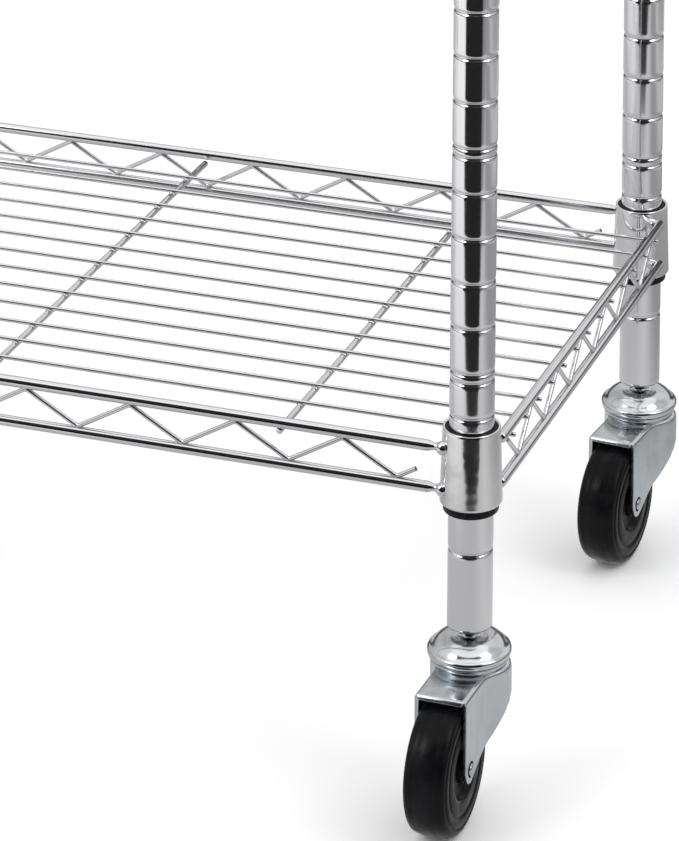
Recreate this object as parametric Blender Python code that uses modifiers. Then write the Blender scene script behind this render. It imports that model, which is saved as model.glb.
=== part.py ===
"""Rolling garment rack of chromed steel wire.

Four grooved tube posts stand on swivel casters and carry a lower and an upper wire shelf. Each corner of a
shelf is a tapered collar that wedges on a split plastic sleeve, and the sleeve's ridge locks in a groove of
the post. A hanging rod runs between two end bars that are held on the posts in the same way.

Units are metres. +Z is up, +X runs along the rack and -Y is its front. The origin is on the floor, under
the middle of the rack's box.
"""

import math

import bmesh
import bpy
from mathutils import Matrix

MM = 0.001

# Fits
GAP = 0.3 * MM  # clearance between pieces that touch or fit in one another
WELD = 0.4 * MM  # how far welded pieces sink into each other
MERGE = 0.01 * MM

# Overall layout
POST_SPACING_X = 1160 * MM
POST_SPACING_Y = 336 * MM
POST_LENGTH = 1778 * MM

# Posts
POST_RADIUS = 12.7 * MM
POST_WALL = 1.8 * MM
GROOVE_PITCH = 25.4 * MM
FIRST_GROOVE = 44.3 * MM
GROOVE_DEPTH = 0.9 * MM
GROOVE_WIDTH = 3.2 * MM
CAP_THICKNESS = 3.0 * MM
CAP_EDGE = 1.0 * MM
CAP_PLUG = 12 * MM
INSERT_LENGTH = 25 * MM

# Collars and sleeves
COLLAR_ABOVE_LOCK = 17.9 * MM
COLLAR_BELOW_LOCK = 24.2 * MM
COLLAR_TAPER = 1.3 * MM  # how much the radius grows from top to bottom
COLLAR_WALL = 1.6 * MM
SLEEVE_TOP_WALL = 1.4 * MM
SLEEVE_BELOW_COLLAR = 5.1 * MM
SLEEVE_TOP_RECESS = 0.8 * MM
SLEEVE_SLIT = 1.6 * MM

# Which groove, counted from the lowest, locks each level
LOWER_LOCK = 2
TOP_MARGIN = 10 * MM
UPPER_LOCK = int((POST_LENGTH - FIRST_GROOVE - COLLAR_ABOVE_LOCK - TOP_MARGIN) / GROOVE_PITCH)
HANGER_LOCK = UPPER_LOCK - 5

# Shelves
RAIL_RADIUS = 3.0 * MM
TRUSS_RADIUS = 1.35 * MM
WIRE_RADIUS = 1.2 * MM
SUPPORT_RADIUS = 2.0 * MM
SIDE_RAIL_INSET = 8.0 * MM  # front and back rails, inside the collars' lower edges
END_RAIL_INSET = 3.1 * MM
UPPER_RAIL = 7.25 * MM  # above the locking groove
LOWER_RAIL = -16.2 * MM
SIDE_TRUSS_PITCH = 64.3 * MM
SIDE_TRUSS_START = 40.5 * MM
SIDE_TRUSS_CUT = 29.3 * MM
END_TRUSS_PITCH = 48.4 * MM
END_TRUSS_START = 40.0 * MM
END_TRUSS_CUT = 19.5 * MM
WIRE_COUNT = 13
WIRE_MARGIN = 33.6 * MM  # from a side rail to the next deck wire
WIRE_OVERHANG = 0.5 * MM
SUPPORT_COUNT = 6
SUPPORT_INSET = 111 * MM

# Hanging rod
ROD_RADIUS = 12.7 * MM
ROD_WALL = 1.5 * MM
BAR_RADIUS = 5.0 * MM
CUP_WALL = 2.0 * MM
CUP_DEPTH = 20 * MM
CUP_FLOOR = 3.0 * MM
CUP_SIDES = 16
HOOK_WALL = 2.5 * MM
HOOK_WIDTH = 22 * MM

# Casters
STEM_RADIUS = 4.85 * MM
STEM_ENGAGEMENT = 22 * MM
BELL_RADIUS = 23.7 * MM
BELL_NECK = 5.0 * MM  # bare stem between the post and the bell
BELL_DOME = 6.5 * MM
BELL_LIP = 4.5 * MM
BELL_WALL = 2.2 * MM
BELL_SHAPE = ((0.75, 0.2), (0.94, 0.55))  # shares of the radius and of the dome's height
BELL_CEILING = 0.7  # share of the radius where the ceiling starts to fall
KINGPIN_RADIUS = 6.0 * MM
KINGPIN_HEAD = 8.5 * MM
HEAD_THICKNESS = 2.0 * MM
CROWN_MARGIN = 0.3 * MM  # inside the bell's radius
CROWN_THICKNESS = 2.5 * MM
RACE_HEIGHT = 3.7 * MM
RACE_STEP = 2.0 * MM
RACE_INSET = 0.7 * MM  # inside the crown's radius
RACE_BORE = 0.7  # share of the crown's radius
TRAIL = 38 * MM
WHEEL_RADIUS = 36.5 * MM
WHEEL_WIDTH = 24 * MM
WHEEL_SHOULDER = 5.0 * MM
WHEEL_CLEARANCE = 2.5 * MM  # under the crown
HUB_RECESS_RADIUS = 16 * MM
HUB_RECESS_DEPTH = 3.0 * MM
HUB_RECESS_DRAFT = 1.0 * MM
HUB_RADIUS = 7.5 * MM
HUB_WIDTH = 25.6 * MM
AXLE_RADIUS = 3.2 * MM
AXLE_HEAD = 4.8 * MM
AXLE_HEAD_HEIGHT = 1.5 * MM
AXLE_HEAD_TOP = 0.7  # share of the head's radius
LEG_THICKNESS = 2.2 * MM
LEG_TIP_RADIUS = 8.5 * MM
SHIN = (0.34, 3.5 * MM)  # share of the trail, and height above the axle
KNEE = (-0.10, 22.5 * MM)
CROWN_FRONT = 6.0 * MM  # how far the crown reaches past the axle
TRAIL_TURN = {"front_left": 4.0, "front_right": 1.5, "back_left": 3.0, "back_right": 5.5}

ROUND_SIDES = 12
WHEEL_SIDES = 16

CORNERS = {"front_left": (-1, -1), "front_right": (1, -1), "back_left": (-1, 1), "back_right": (1, 1)}
ENDS = {"left": -1, "right": 1}

# Sizes that follow from those above
HALF_X = POST_SPACING_X / 2
HALF_Y = POST_SPACING_Y / 2
CROWN_BOTTOM = 2 * WHEEL_RADIUS + WHEEL_CLEARANCE
CROWN_TOP = CROWN_BOTTOM + CROWN_THICKNESS
CROWN_RADIUS = BELL_RADIUS - CROWN_MARGIN
BELL_LIP_LEVEL = CROWN_TOP + RACE_HEIGHT + GAP
STEM_HEIGHT = BELL_LIP_LEVEL + BELL_LIP + BELL_DOME + BELL_NECK  # floor to the lower end of a post
COLLAR_TOP_RADIUS = POST_RADIUS + GAP + SLEEVE_TOP_WALL + GAP + COLLAR_WALL
COLLAR_BOTTOM_RADIUS = COLLAR_TOP_RADIUS + COLLAR_TAPER
SIDE_RAIL_OFFSET = COLLAR_BOTTOM_RADIUS - SIDE_RAIL_INSET
END_RAIL_OFFSET = COLLAR_BOTTOM_RADIUS - END_RAIL_INSET
POST_BORE = POST_RADIUS - POST_WALL
SLEEVE_BORE = POST_RADIUS + GAP
LEG_PLANE = HUB_WIDTH / 2 + GAP + LEG_THICKNESS / 2
SUPPORT_LEVEL = UPPER_RAIL - RAIL_RADIUS - SUPPORT_RADIUS - GAP
WIRE_LEVEL = SUPPORT_LEVEL + SUPPORT_RADIUS + WIRE_RADIUS - WELD
END_UPPER_RAIL = WIRE_LEVEL + WIRE_RADIUS + GAP + RAIL_RADIUS
FRONT_REACH = HALF_Y + TRAIL + WHEEL_RADIUS
BACK_REACH = HALF_Y + BELL_RADIUS
CENTRE_SHIFT = (FRONT_REACH - BACK_REACH) / 2

# Finishes: base colour, roughness, metallic
FINISHES = {
    "chrome": ((0.78, 0.78, 0.80), 0.12, 1.0),
    "zinc": ((0.62, 0.66, 0.70), 0.35, 1.0),
    "rubber": ((0.02, 0.02, 0.022), 0.55, 0.0),
    "black_plastic": ((0.015, 0.015, 0.015), 0.45, 0.0),
}


def clear_scene():
    """Removes every object of the open scene."""
    for item in list(bpy.data.objects):
        bpy.data.objects.remove(item, do_unlink=True)


def new_collection(name):
    """A collection linked to the scene."""
    group = bpy.data.collections.new(name)
    bpy.context.scene.collection.children.link(group)
    return group


def make_material(name, finish):
    """A Principled material of the given finish."""
    colour, roughness, metallic = FINISHES[finish]
    material = bpy.data.materials.new(name)
    material.use_nodes = True
    shader = material.node_tree.nodes["Principled BSDF"]
    shader.inputs["Base Color"].default_value = (*colour, 1.0)
    shader.inputs["Roughness"].default_value = roughness
    shader.inputs["Metallic"].default_value = metallic
    material.diffuse_color = (*colour, 1.0)
    return material


def add_part(name, mesh, finish, parent):
    """A visible piece of the rack with its own material."""
    part = bpy.data.objects.new(name, mesh)
    PARTS.objects.link(part)
    part.parent = parent
    part.data.materials.append(make_material(name, finish))
    return part


def add_tool(name, mesh, part):
    """A helper solid in the frame of its part, left out of renders."""
    tool = bpy.data.objects.new(name, mesh)
    TOOLS.objects.link(tool)
    tool.parent = part
    tool.hide_render = True
    tool.display_type = "WIRE"
    return tool


def add_empty(name, parent, place, turn=0.0):
    """An empty at a joint or a reference point, turned about +Z."""
    empty = bpy.data.objects.new(name, None)
    PARTS.objects.link(empty)
    empty.parent = parent
    empty.location = place
    empty.rotation_euler = (0, 0, turn)
    return empty


def combine(part, tool, operation):
    """Adds a Boolean of the tool to the part."""
    boolean = part.modifiers.new(tool.name, "BOOLEAN")
    boolean.operation = operation
    boolean.solver = "EXACT"
    boolean.object = tool


def evaluated_mesh(helper):
    """The helper's evaluated mesh, welded closed. The helper is removed."""
    graph = bpy.context.evaluated_depsgraph_get()
    mesh = bpy.data.meshes.new_from_object(helper.evaluated_get(graph))
    mesh.transform(helper.matrix_world)
    name = helper.name
    bpy.data.objects.remove(helper, do_unlink=True)
    shape = bmesh.new()
    shape.from_mesh(mesh)
    bmesh.ops.remove_doubles(shape, verts=shape.verts, dist=MERGE)
    bmesh.ops.recalc_face_normals(shape, faces=shape.faces)
    shape.to_mesh(mesh)
    shape.free()
    mesh.name = name
    mesh.materials.clear()
    return mesh


def turned_mesh(name, profile, sides=ROUND_SIDES, hollow=False):
    """A solid turned about +Z from (radius, height) points, its outer side from the top down."""
    line = bpy.data.meshes.new(name)
    edges = [(i, i + 1) for i in range(len(profile) - 1)]
    if hollow:
        edges.append((len(profile) - 1, 0))
    line.from_pydata([(radius, 0.0, height) for radius, height in profile], edges, [])
    helper = bpy.data.objects.new(name, line)
    bpy.context.scene.collection.objects.link(helper)
    screw = helper.modifiers.new("Turn", "SCREW")
    screw.steps = sides
    screw.render_steps = sides
    screw.use_merge_vertices = True
    screw.merge_threshold = MERGE
    mesh = evaluated_mesh(helper)
    mesh.shade_smooth()
    mesh.set_sharp_from_angle(angle=math.radians(40))
    return mesh


def wire_mesh(name, routes, radius, roundness):
    """Round wires along straight-run routes, each with closed ends."""
    curve = bpy.data.curves.new(name, "CURVE")
    curve.dimensions = "3D"
    curve.bevel_depth = radius
    curve.bevel_resolution = roundness
    curve.use_fill_caps = True
    for route in routes:
        spline = curve.splines.new("POLY")
        spline.points.add(len(route) - 1)
        for point, place in zip(spline.points, route):
            point.co = (*place, 1.0)
    helper = bpy.data.objects.new(name, curve)
    bpy.context.scene.collection.objects.link(helper)
    mesh = evaluated_mesh(helper)
    mesh.shade_smooth()
    mesh.set_sharp_from_angle(angle=math.radians(50))
    return mesh


def plate_mesh(name, outline, holes, thickness, place):
    """A flat plate in the XY plane with round holes (x, y, radius), then moved by the matrix."""
    curve = bpy.data.curves.new(name, "CURVE")
    curve.dimensions = "2D"
    curve.fill_mode = "BOTH"
    curve.extrude = thickness / 2
    rings = [outline] + [arc((x, y), radius, 0, 330, 12) for x, y, radius in holes]
    for ring in rings:
        spline = curve.splines.new("POLY")
        spline.use_cyclic_u = True
        spline.points.add(len(ring) - 1)
        for point, (x, y) in zip(spline.points, ring):
            point.co = (x, y, 0.0, 1.0)
    helper = bpy.data.objects.new(name, curve)
    bpy.context.scene.collection.objects.link(helper)
    mesh = evaluated_mesh(helper)
    mesh.transform(place)
    return mesh


def box_mesh(name, low, high):
    """A box between two corners."""
    shape = bmesh.new()
    bmesh.ops.create_cube(shape, size=1.0)
    size = [b - a for a, b in zip(low, high)]
    middle = [(a + b) / 2 for a, b in zip(low, high)]
    bmesh.ops.transform(shape, verts=shape.verts, matrix=Matrix.Translation(middle) @ Matrix.Diagonal((*size, 1)))
    mesh = bpy.data.meshes.new(name)
    shape.to_mesh(mesh)
    shape.free()
    return mesh


def arc(centre, radius, start, end, count):
    """Points on an arc, from one angle to another in degrees."""
    step = (end - start) / (count - 1)
    angles = [math.radians(start + step * i) for i in range(count)]
    return [(centre[0] + radius * math.cos(a), centre[1] + radius * math.sin(a)) for a in angles]


def groove_level(number):
    """Height above a post's lower end of a groove, counted from the lowest."""
    return FIRST_GROOVE + GROOVE_PITCH * number


def lock_height(number):
    """Height of a locking groove above the floor."""
    return STEM_HEIGHT + groove_level(number)


def groove_profile(level, offset):
    """The four points of a groove, top down, moved outwards by an offset."""
    rim = POST_RADIUS + offset
    half = GROOVE_WIDTH / 2
    floor = rim - GROOVE_DEPTH
    return [(rim, level + half), (floor, level + half / 2), (floor, level - half / 2), (rim, level - half)]


def collar_radius(height):
    """Outer radius of a collar at a height above its locking groove."""
    share = (COLLAR_ABOVE_LOCK - height) / (COLLAR_ABOVE_LOCK + COLLAR_BELOW_LOCK)
    return COLLAR_TOP_RADIUS + share * (COLLAR_BOTTOM_RADIUS - COLLAR_TOP_RADIUS)


def collar_bore(height):
    """Inner radius of a collar at a height above its locking groove."""
    return collar_radius(height) - COLLAR_WALL


def collar_mesh(name):
    """A tapered collar about +Z, with the locking groove's level at zero."""
    top, bottom = COLLAR_ABOVE_LOCK, -COLLAR_BELOW_LOCK
    profile = [
        (collar_radius(top), top),
        (collar_radius(bottom), bottom),
        (collar_bore(bottom), bottom),
        (collar_bore(top), top),
    ]
    return turned_mesh(name, profile, hollow=True)


def post_mesh():
    """A tube with the grooves that the shelves and the end bars lock in."""
    profile = [(POST_RADIUS, POST_LENGTH)]
    for number in (UPPER_LOCK, HANGER_LOCK, LOWER_LOCK):
        profile += groove_profile(groove_level(number), 0.0)
    profile += [(POST_RADIUS, 0.0), (POST_BORE, 0.0), (POST_BORE, POST_LENGTH)]
    return turned_mesh("post", profile, hollow=True)


def cap_mesh():
    """A cap that closes a post's upper end, with its seat on the post at zero."""
    plug = POST_BORE - GAP
    profile = [
        (0.0, GAP + CAP_THICKNESS),
        (POST_RADIUS - CAP_EDGE, GAP + CAP_THICKNESS),
        (POST_RADIUS, GAP + CAP_THICKNESS - CAP_EDGE),
        (POST_RADIUS, GAP),
        (plug, GAP),
        (plug, -CAP_PLUG),
        (0.0, -CAP_PLUG),
    ]
    return turned_mesh("post_cap", profile)


def insert_mesh():
    """The plug in a post's lower end that a caster's stem screws into."""
    outer = POST_BORE - GAP
    bore = STEM_RADIUS + GAP
    profile = [(outer, INSERT_LENGTH), (outer, 0.0), (bore, 0.0), (bore, INSERT_LENGTH)]
    return turned_mesh("stem_insert", profile, hollow=True)


def sleeve_mesh():
    """A tapered sleeve with an inner ridge that sits in a post's groove."""
    top = COLLAR_ABOVE_LOCK - SLEEVE_TOP_RECESS
    rim = -COLLAR_BELOW_LOCK
    bottom = rim - SLEEVE_BELOW_COLLAR
    ridge = groove_profile(0.0, GAP)
    profile = [
        (collar_bore(top) - GAP, top),
        (collar_bore(rim) - GAP, rim),
        (collar_bore(rim) - GAP, bottom),
        (SLEEVE_BORE, bottom),
        *reversed(ridge),
        (SLEEVE_BORE, top),
    ]
    return turned_mesh("sleeve", profile, hollow=True)


def add_posts(rack):
    """Posts, their caps and the inserts for the caster stems."""
    post, cap, insert = post_mesh(), cap_mesh(), insert_mesh()
    for corner, (side_x, side_y) in CORNERS.items():
        place = (side_x * HALF_X, side_y * HALF_Y)
        add_part(f"post_{corner}", post.copy(), "chrome", rack).location = (*place, STEM_HEIGHT)
        add_part(f"post_cap_{corner}", cap.copy(), "black_plastic", rack).location = (*place, STEM_HEIGHT + POST_LENGTH)
        add_part(f"stem_insert_{corner}", insert.copy(), "zinc", rack).location = (*place, STEM_HEIGHT)


def add_sleeves(rack, level_name, level):
    """The four split sleeves of one level."""
    mesh = sleeve_mesh()
    reach = collar_bore(-COLLAR_BELOW_LOCK) + GAP
    for corner, (side_x, side_y) in CORNERS.items():
        sleeve = add_part(f"{level_name}_sleeve_{corner}", mesh.copy(), "black_plastic", rack)
        sleeve.location = (side_x * HALF_X, side_y * HALF_Y, level)
        low = (0.0, -SLEEVE_SLIT / 2, -COLLAR_BELOW_LOCK - 2 * SLEEVE_BELOW_COLLAR)
        high = (reach * 1.2, SLEEVE_SLIT / 2, COLLAR_ABOVE_LOCK + GAP)
        if side_x > 0:
            low, high = (-high[0], low[1], low[2]), (0.0, high[1], high[2])
        slit = add_tool(f"{sleeve.name}_slit", box_mesh("slit", low, high), sleeve)
        combine(sleeve, slit, "DIFFERENCE")


def zigzag(length, start, cut, pitch, low, high):
    """(distance, height) points of a bent truss wire, cut short of both posts."""
    points = []
    at = length / 2 - start
    heights = (low, high)
    count = 0
    while at > cut - length / 2:
        points.append((at, heights[count % 2]))
        at -= pitch / 2
        count += 1
    slope = 2 * (high - low) / pitch
    first = (length / 2 - cut, low + slope * (start - cut))
    run = points[-1][0] + length / 2 - cut
    turn = slope if points[-1][1] == low else -slope
    last = (cut - length / 2, points[-1][1] + turn * run)
    return [first] + points + [last]


def add_side_truss(rack, name, side_y, level):
    """Front or back truss of a shelf: two rails with a bent wire between them."""
    outer = SIDE_RAIL_OFFSET - RAIL_RADIUS
    reach = HALF_X - math.sqrt(COLLAR_BOTTOM_RADIUS**2 - outer**2) - GAP
    rails = [[(-reach, 0, height), (reach, 0, height)] for height in (UPPER_RAIL, LOWER_RAIL)]
    truss = add_part(name, wire_mesh(name, rails, RAIL_RADIUS, 1), "chrome", rack)
    truss.location = (0, side_y * (HALF_Y + SIDE_RAIL_OFFSET), level)
    drop = RAIL_RADIUS + TRUSS_RADIUS - 2 * WELD
    bends = zigzag(
        POST_SPACING_X, SIDE_TRUSS_START, SIDE_TRUSS_CUT, SIDE_TRUSS_PITCH, LOWER_RAIL + drop, UPPER_RAIL - drop
    )
    route = [(along, 0, height) for along, height in bends]
    combine(truss, add_tool(f"{name}_bends", wire_mesh("bends", [route], TRUSS_RADIUS, 0), truss), "UNION")


def add_end_frame(rack, name, side_x, level):
    """End of a shelf: two corner collars joined by a truss."""
    rails = []
    for height in (END_UPPER_RAIL, LOWER_RAIL):
        reach = math.sqrt(collar_bore(height - RAIL_RADIUS) ** 2 - (END_RAIL_OFFSET - RAIL_RADIUS) ** 2) + WELD
        along = side_x * END_RAIL_OFFSET
        rails.append([(along, reach - HALF_Y, height), (along, HALF_Y - reach, height)])
    frame = add_part(name, wire_mesh(name, rails, RAIL_RADIUS, 1), "chrome", rack)
    frame.location = (side_x * HALF_X, 0, level)
    drop = RAIL_RADIUS + TRUSS_RADIUS - 2 * WELD
    bends = zigzag(
        POST_SPACING_Y, END_TRUSS_START, END_TRUSS_CUT, END_TRUSS_PITCH, LOWER_RAIL + drop, END_UPPER_RAIL - drop
    )
    route = [(side_x * END_RAIL_OFFSET, -along, height) for along, height in bends]
    combine(frame, add_tool(f"{name}_bends", wire_mesh("bends", [route], TRUSS_RADIUS, 0), frame), "UNION")
    add_collars(frame)


def add_collars(frame):
    """Joins a collar to each end of a frame that runs along Y."""
    for side, label in ((-1, "front"), (1, "back")):
        mesh = collar_mesh("collar")
        mesh.transform(Matrix.Translation((0, side * HALF_Y, 0)))
        combine(frame, add_tool(f"{frame.name}_{label}_collar", mesh, frame), "UNION")


def add_deck(rack, name, level):
    """Deck wires along the shelf on cross supports, welded into one mat."""
    wire_reach = HALF_X + END_RAIL_OFFSET + RAIL_RADIUS + WIRE_OVERHANG
    first = HALF_Y + SIDE_RAIL_OFFSET - WIRE_MARGIN
    pitch = 2 * first / (WIRE_COUNT - 1)
    places = [-first + pitch * i for i in range(WIRE_COUNT)]
    wires = [[(-wire_reach, y, WIRE_LEVEL), (wire_reach, y, WIRE_LEVEL)] for y in places]
    deck = add_part(name, wire_mesh(name, wires, WIRE_RADIUS, 0), "chrome", rack)
    deck.location = (0, 0, level)
    support_reach = HALF_Y + SIDE_RAIL_OFFSET - TRUSS_RADIUS - 2 * GAP
    inner = HALF_X - SUPPORT_INSET
    gap = 2 * inner / (SUPPORT_COUNT - 1)
    places = [-inner + gap * i for i in range(SUPPORT_COUNT)]
    bars = [[(x, -support_reach, SUPPORT_LEVEL), (x, support_reach, SUPPORT_LEVEL)] for x in places]
    combine(deck, add_tool(f"{name}_supports", wire_mesh("supports", bars, SUPPORT_RADIUS, 1), deck), "UNION")


def add_shelf(rack, name, lock):
    """A wire shelf whose collars lock in a groove of the posts."""
    level = lock_height(lock)
    add_deck(rack, f"{name}_deck", level)
    for label, side_y in (("front", -1), ("back", 1)):
        add_side_truss(rack, f"{name}_{label}_truss", side_y, level)
    for label, side_x in ENDS.items():
        add_end_frame(rack, f"{name}_{label}_end", side_x, level)
    add_sleeves(rack, name, level)


def bracket_mesh():
    """A cup that opens along +X and holds one end of the rod, with its bar at the origin."""
    start = BAR_RADIUS + GAP
    floor = start + CUP_FLOOR
    rim = floor + CUP_DEPTH
    bore = ROD_RADIUS + GAP
    outer = bore + CUP_WALL
    profile = [(0.0, floor), (bore, floor), (bore, rim), (outer, rim), (outer, start), (0.0, start)]
    mesh = turned_mesh("bracket", profile, sides=CUP_SIDES)
    mesh.transform(Matrix.Rotation(math.radians(90), 4, "Y"))
    return mesh


def hook_mesh():
    """A ring along Y around the bar."""
    bore = (BAR_RADIUS + GAP) / math.cos(math.pi / ROUND_SIDES)
    outer = bore + HOOK_WALL
    half = HOOK_WIDTH / 2
    mesh = turned_mesh("hook", [(outer, half), (outer, -half), (bore, -half), (bore, half)], hollow=True)
    mesh.transform(Matrix.Rotation(math.radians(90), 4, "X"))
    return mesh


def add_hanger(rack):
    """Two end bars on the posts, and the rod between them in hook-on cups."""
    level = lock_height(HANGER_LOCK)
    drop = (COLLAR_ABOVE_LOCK - COLLAR_BELOW_LOCK) / 2
    bar_reach = HALF_Y - collar_bore(drop) - WELD
    for label, side_x in ENDS.items():
        route = [(0, -bar_reach, drop), (0, bar_reach, drop)]
        bar = add_part(f"hanger_bar_{label}", wire_mesh("bar", [route], BAR_RADIUS, 4), "chrome", rack)
        bar.location = (side_x * HALF_X, 0, level)
        add_collars(bar)
        bracket = add_part(f"rod_bracket_{label}", bracket_mesh(), "chrome", rack)
        bracket.location = (side_x * HALF_X, 0, level + drop)
        bracket.rotation_euler = (0, 0, math.pi if side_x > 0 else 0)
        hook = add_tool(f"{bracket.name}_hook", hook_mesh(), bracket)
        combine(bracket, hook, "UNION")
        mouth = BAR_RADIUS + GAP
        low, high = (-mouth, -HOOK_WIDTH, -4 * BAR_RADIUS), (mouth - GAP, HOOK_WIDTH, 0.0)
        combine(bracket, add_tool(f"{bracket.name}_mouth", box_mesh("mouth", low, high), bracket), "DIFFERENCE")
    half = HALF_X - BAR_RADIUS - CUP_FLOOR - 2 * GAP
    bore = ROD_RADIUS - ROD_WALL
    mesh = turned_mesh(
        "rod", [(ROD_RADIUS, half), (ROD_RADIUS, -half), (bore, -half), (bore, half)], sides=CUP_SIDES, hollow=True
    )
    mesh.transform(Matrix.Rotation(math.radians(90), 4, "Y"))
    add_part("hanging_rod", mesh, "chrome", rack).location = (0, 0, level + drop)
    add_sleeves(rack, "hanger", level)


def caster_top_mesh():
    """Threaded stem, domed bell and kingpin, with the floor at zero."""
    neck = STEM_HEIGHT - BELL_NECK
    shoulder = neck - BELL_DOME
    ceiling = neck - 2 * BELL_WALL
    profile = [
        (0.0, STEM_HEIGHT + STEM_ENGAGEMENT),
        (STEM_RADIUS, STEM_HEIGHT + STEM_ENGAGEMENT),
        (STEM_RADIUS, neck),
        *[(BELL_RADIUS * out, neck - BELL_DOME * down) for out, down in BELL_SHAPE],
        (BELL_RADIUS, shoulder),
        (BELL_RADIUS, BELL_LIP_LEVEL),
        (BELL_RADIUS - BELL_WALL, BELL_LIP_LEVEL),
        (BELL_RADIUS - BELL_WALL, shoulder - BELL_WALL / 2),
        (BELL_RADIUS * BELL_CEILING, ceiling),
        (KINGPIN_RADIUS, ceiling),
        (KINGPIN_RADIUS, CROWN_BOTTOM - GAP),
        (KINGPIN_HEAD, CROWN_BOTTOM - GAP),
        (KINGPIN_HEAD, CROWN_BOTTOM - GAP - HEAD_THICKNESS),
        (0.0, CROWN_BOTTOM - GAP - HEAD_THICKNESS),
    ]
    return turned_mesh("caster_top", profile)


def fork_meshes():
    """Race ring, crown plate and two legs about the swivel axis, trailing towards -Y."""
    race_step = BELL_RADIUS - BELL_WALL - RACE_STEP
    race_top = BELL_LIP_LEVEL + BELL_LIP / 2
    race_radius = CROWN_RADIUS - RACE_INSET
    race_bore = CROWN_RADIUS * RACE_BORE
    race = [
        (race_step, race_top),
        (race_step, BELL_LIP_LEVEL - GAP),
        (race_radius, BELL_LIP_LEVEL - GAP),
        (race_radius, CROWN_TOP - WELD),
        (race_bore, CROWN_TOP - WELD),
        (race_bore, race_top),
    ]
    front = TRAIL + CROWN_FRONT
    tangent = math.degrees(math.asin(LEG_PLANE / CROWN_RADIUS))
    crown = [(front, LEG_PLANE)] + arc((0, 0), CROWN_RADIUS, tangent, 360 - tangent, 13) + [(front, -LEG_PLANE)]
    pin_hole = (KINGPIN_RADIUS + 2 * GAP) / math.cos(math.pi / ROUND_SIDES)
    flat = Matrix.Rotation(math.radians(-90), 4, "Z")
    lift = Matrix.Translation((0, 0, CROWN_TOP - CROWN_THICKNESS / 2))
    pieces = [
        turned_mesh("race", race, hollow=True),
        plate_mesh("crown", crown, [(0, 0, pin_hole)], CROWN_THICKNESS, lift @ flat),
    ]
    leg_top = CROWN_TOP - WELD
    tip = arc((TRAIL, WHEEL_RADIUS), LEG_TIP_RADIUS, 10, -140, 8)
    rear = -math.sqrt(CROWN_RADIUS**2 - (LEG_PLANE + LEG_THICKNESS / 2) ** 2)
    knee = (TRAIL * KNEE[0], WHEEL_RADIUS + KNEE[1])
    shin = (TRAIL * SHIN[0], WHEEL_RADIUS + SHIN[1])
    leg = [(front, leg_top)] + tip + [shin, knee, (rear, leg_top)]
    axle_hole = (AXLE_RADIUS + GAP) / math.cos(math.pi / ROUND_SIDES)
    upright = Matrix.Rotation(math.radians(-90), 4, "Z") @ Matrix.Rotation(math.radians(90), 4, "X")
    for side in (-1, 1):
        place = Matrix.Translation((side * LEG_PLANE, 0, 0)) @ upright
        pieces.append(plate_mesh("leg", leg, [(TRAIL, WHEEL_RADIUS, axle_hole)], LEG_THICKNESS, place))
    return pieces


def wheel_mesh():
    """A rubber wheel about +Z with recessed faces, a hub and a bore. Its tread has a flat at each facet."""
    facet = math.cos(math.pi / WHEEL_SIDES)
    half = WHEEL_WIDTH / 2
    bore = (AXLE_RADIUS + GAP) / facet
    side = [
        (WHEEL_RADIUS / facet, half - WHEEL_SHOULDER),
        (WHEEL_RADIUS - WHEEL_SHOULDER, half),
        (HUB_RECESS_RADIUS, half),
        (HUB_RECESS_RADIUS - HUB_RECESS_DRAFT, half - HUB_RECESS_DEPTH),
        (HUB_RADIUS, half - HUB_RECESS_DEPTH),
        (HUB_RADIUS, HUB_WIDTH / 2),
        (bore, HUB_WIDTH / 2),
    ]
    lower = [(radius, -width) for radius, width in side]
    return turned_mesh("wheel", list(reversed(side)) + lower, sides=WHEEL_SIDES, hollow=True)


def axle_mesh():
    """A riveted axle about +Z with a head outside each leg."""
    inner = LEG_PLANE + LEG_THICKNESS / 2 + GAP
    outer = inner + AXLE_HEAD_HEIGHT
    profile = [
        (0.0, outer),
        (AXLE_HEAD * AXLE_HEAD_TOP, outer),
        (AXLE_HEAD, inner),
        (AXLE_RADIUS, inner),
        (AXLE_RADIUS, -inner),
        (AXLE_HEAD, -inner),
        (AXLE_HEAD * AXLE_HEAD_TOP, -outer),
        (0.0, -outer),
    ]
    return turned_mesh("axle", profile)


def add_casters(rack):
    """Four casters: each has a fixed top, a swivelling fork and a wheel on its axle."""
    top, wheel, axle = caster_top_mesh(), wheel_mesh(), axle_mesh()
    pieces = fork_meshes()
    across = Matrix.Rotation(math.radians(90), 4, "Y") @ Matrix.Rotation(math.pi / WHEEL_SIDES, 4, "Z")
    for corner, (side_x, side_y) in CORNERS.items():
        place = (side_x * HALF_X, side_y * HALF_Y, 0)
        add_part(f"caster_top_{corner}", top.copy(), "zinc", rack).location = place
        swivel = add_empty(f"swivel_{corner}", rack, place, -math.radians(TRAIL_TURN[corner]))
        fork = add_part(f"caster_fork_{corner}", pieces[0].copy(), "zinc", swivel)
        for mesh, label in zip(pieces[1:], ("crown", "left_leg", "right_leg")):
            combine(fork, add_tool(f"{fork.name}_{label}", mesh.copy(), fork), "UNION")
        hub = add_empty(f"hub_{corner}", swivel, (0, -TRAIL, WHEEL_RADIUS))
        add_part(f"caster_axle_{corner}", axle.copy(), "zinc", hub).rotation_euler = (0, math.pi / 2, 0)
        add_part(f"caster_wheel_{corner}", wheel.copy(), "rubber", hub).rotation_euler = across.to_euler()


clear_scene()
PARTS = new_collection("rolling_garment_rack")
TOOLS = new_collection("cutters")
RACK = add_empty("rack", None, (0, CENTRE_SHIFT, 0))
add_posts(RACK)
add_shelf(RACK, "lower_shelf", LOWER_LOCK)
add_shelf(RACK, "upper_shelf", UPPER_LOCK)
add_hanger(RACK)
add_casters(RACK)
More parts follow.
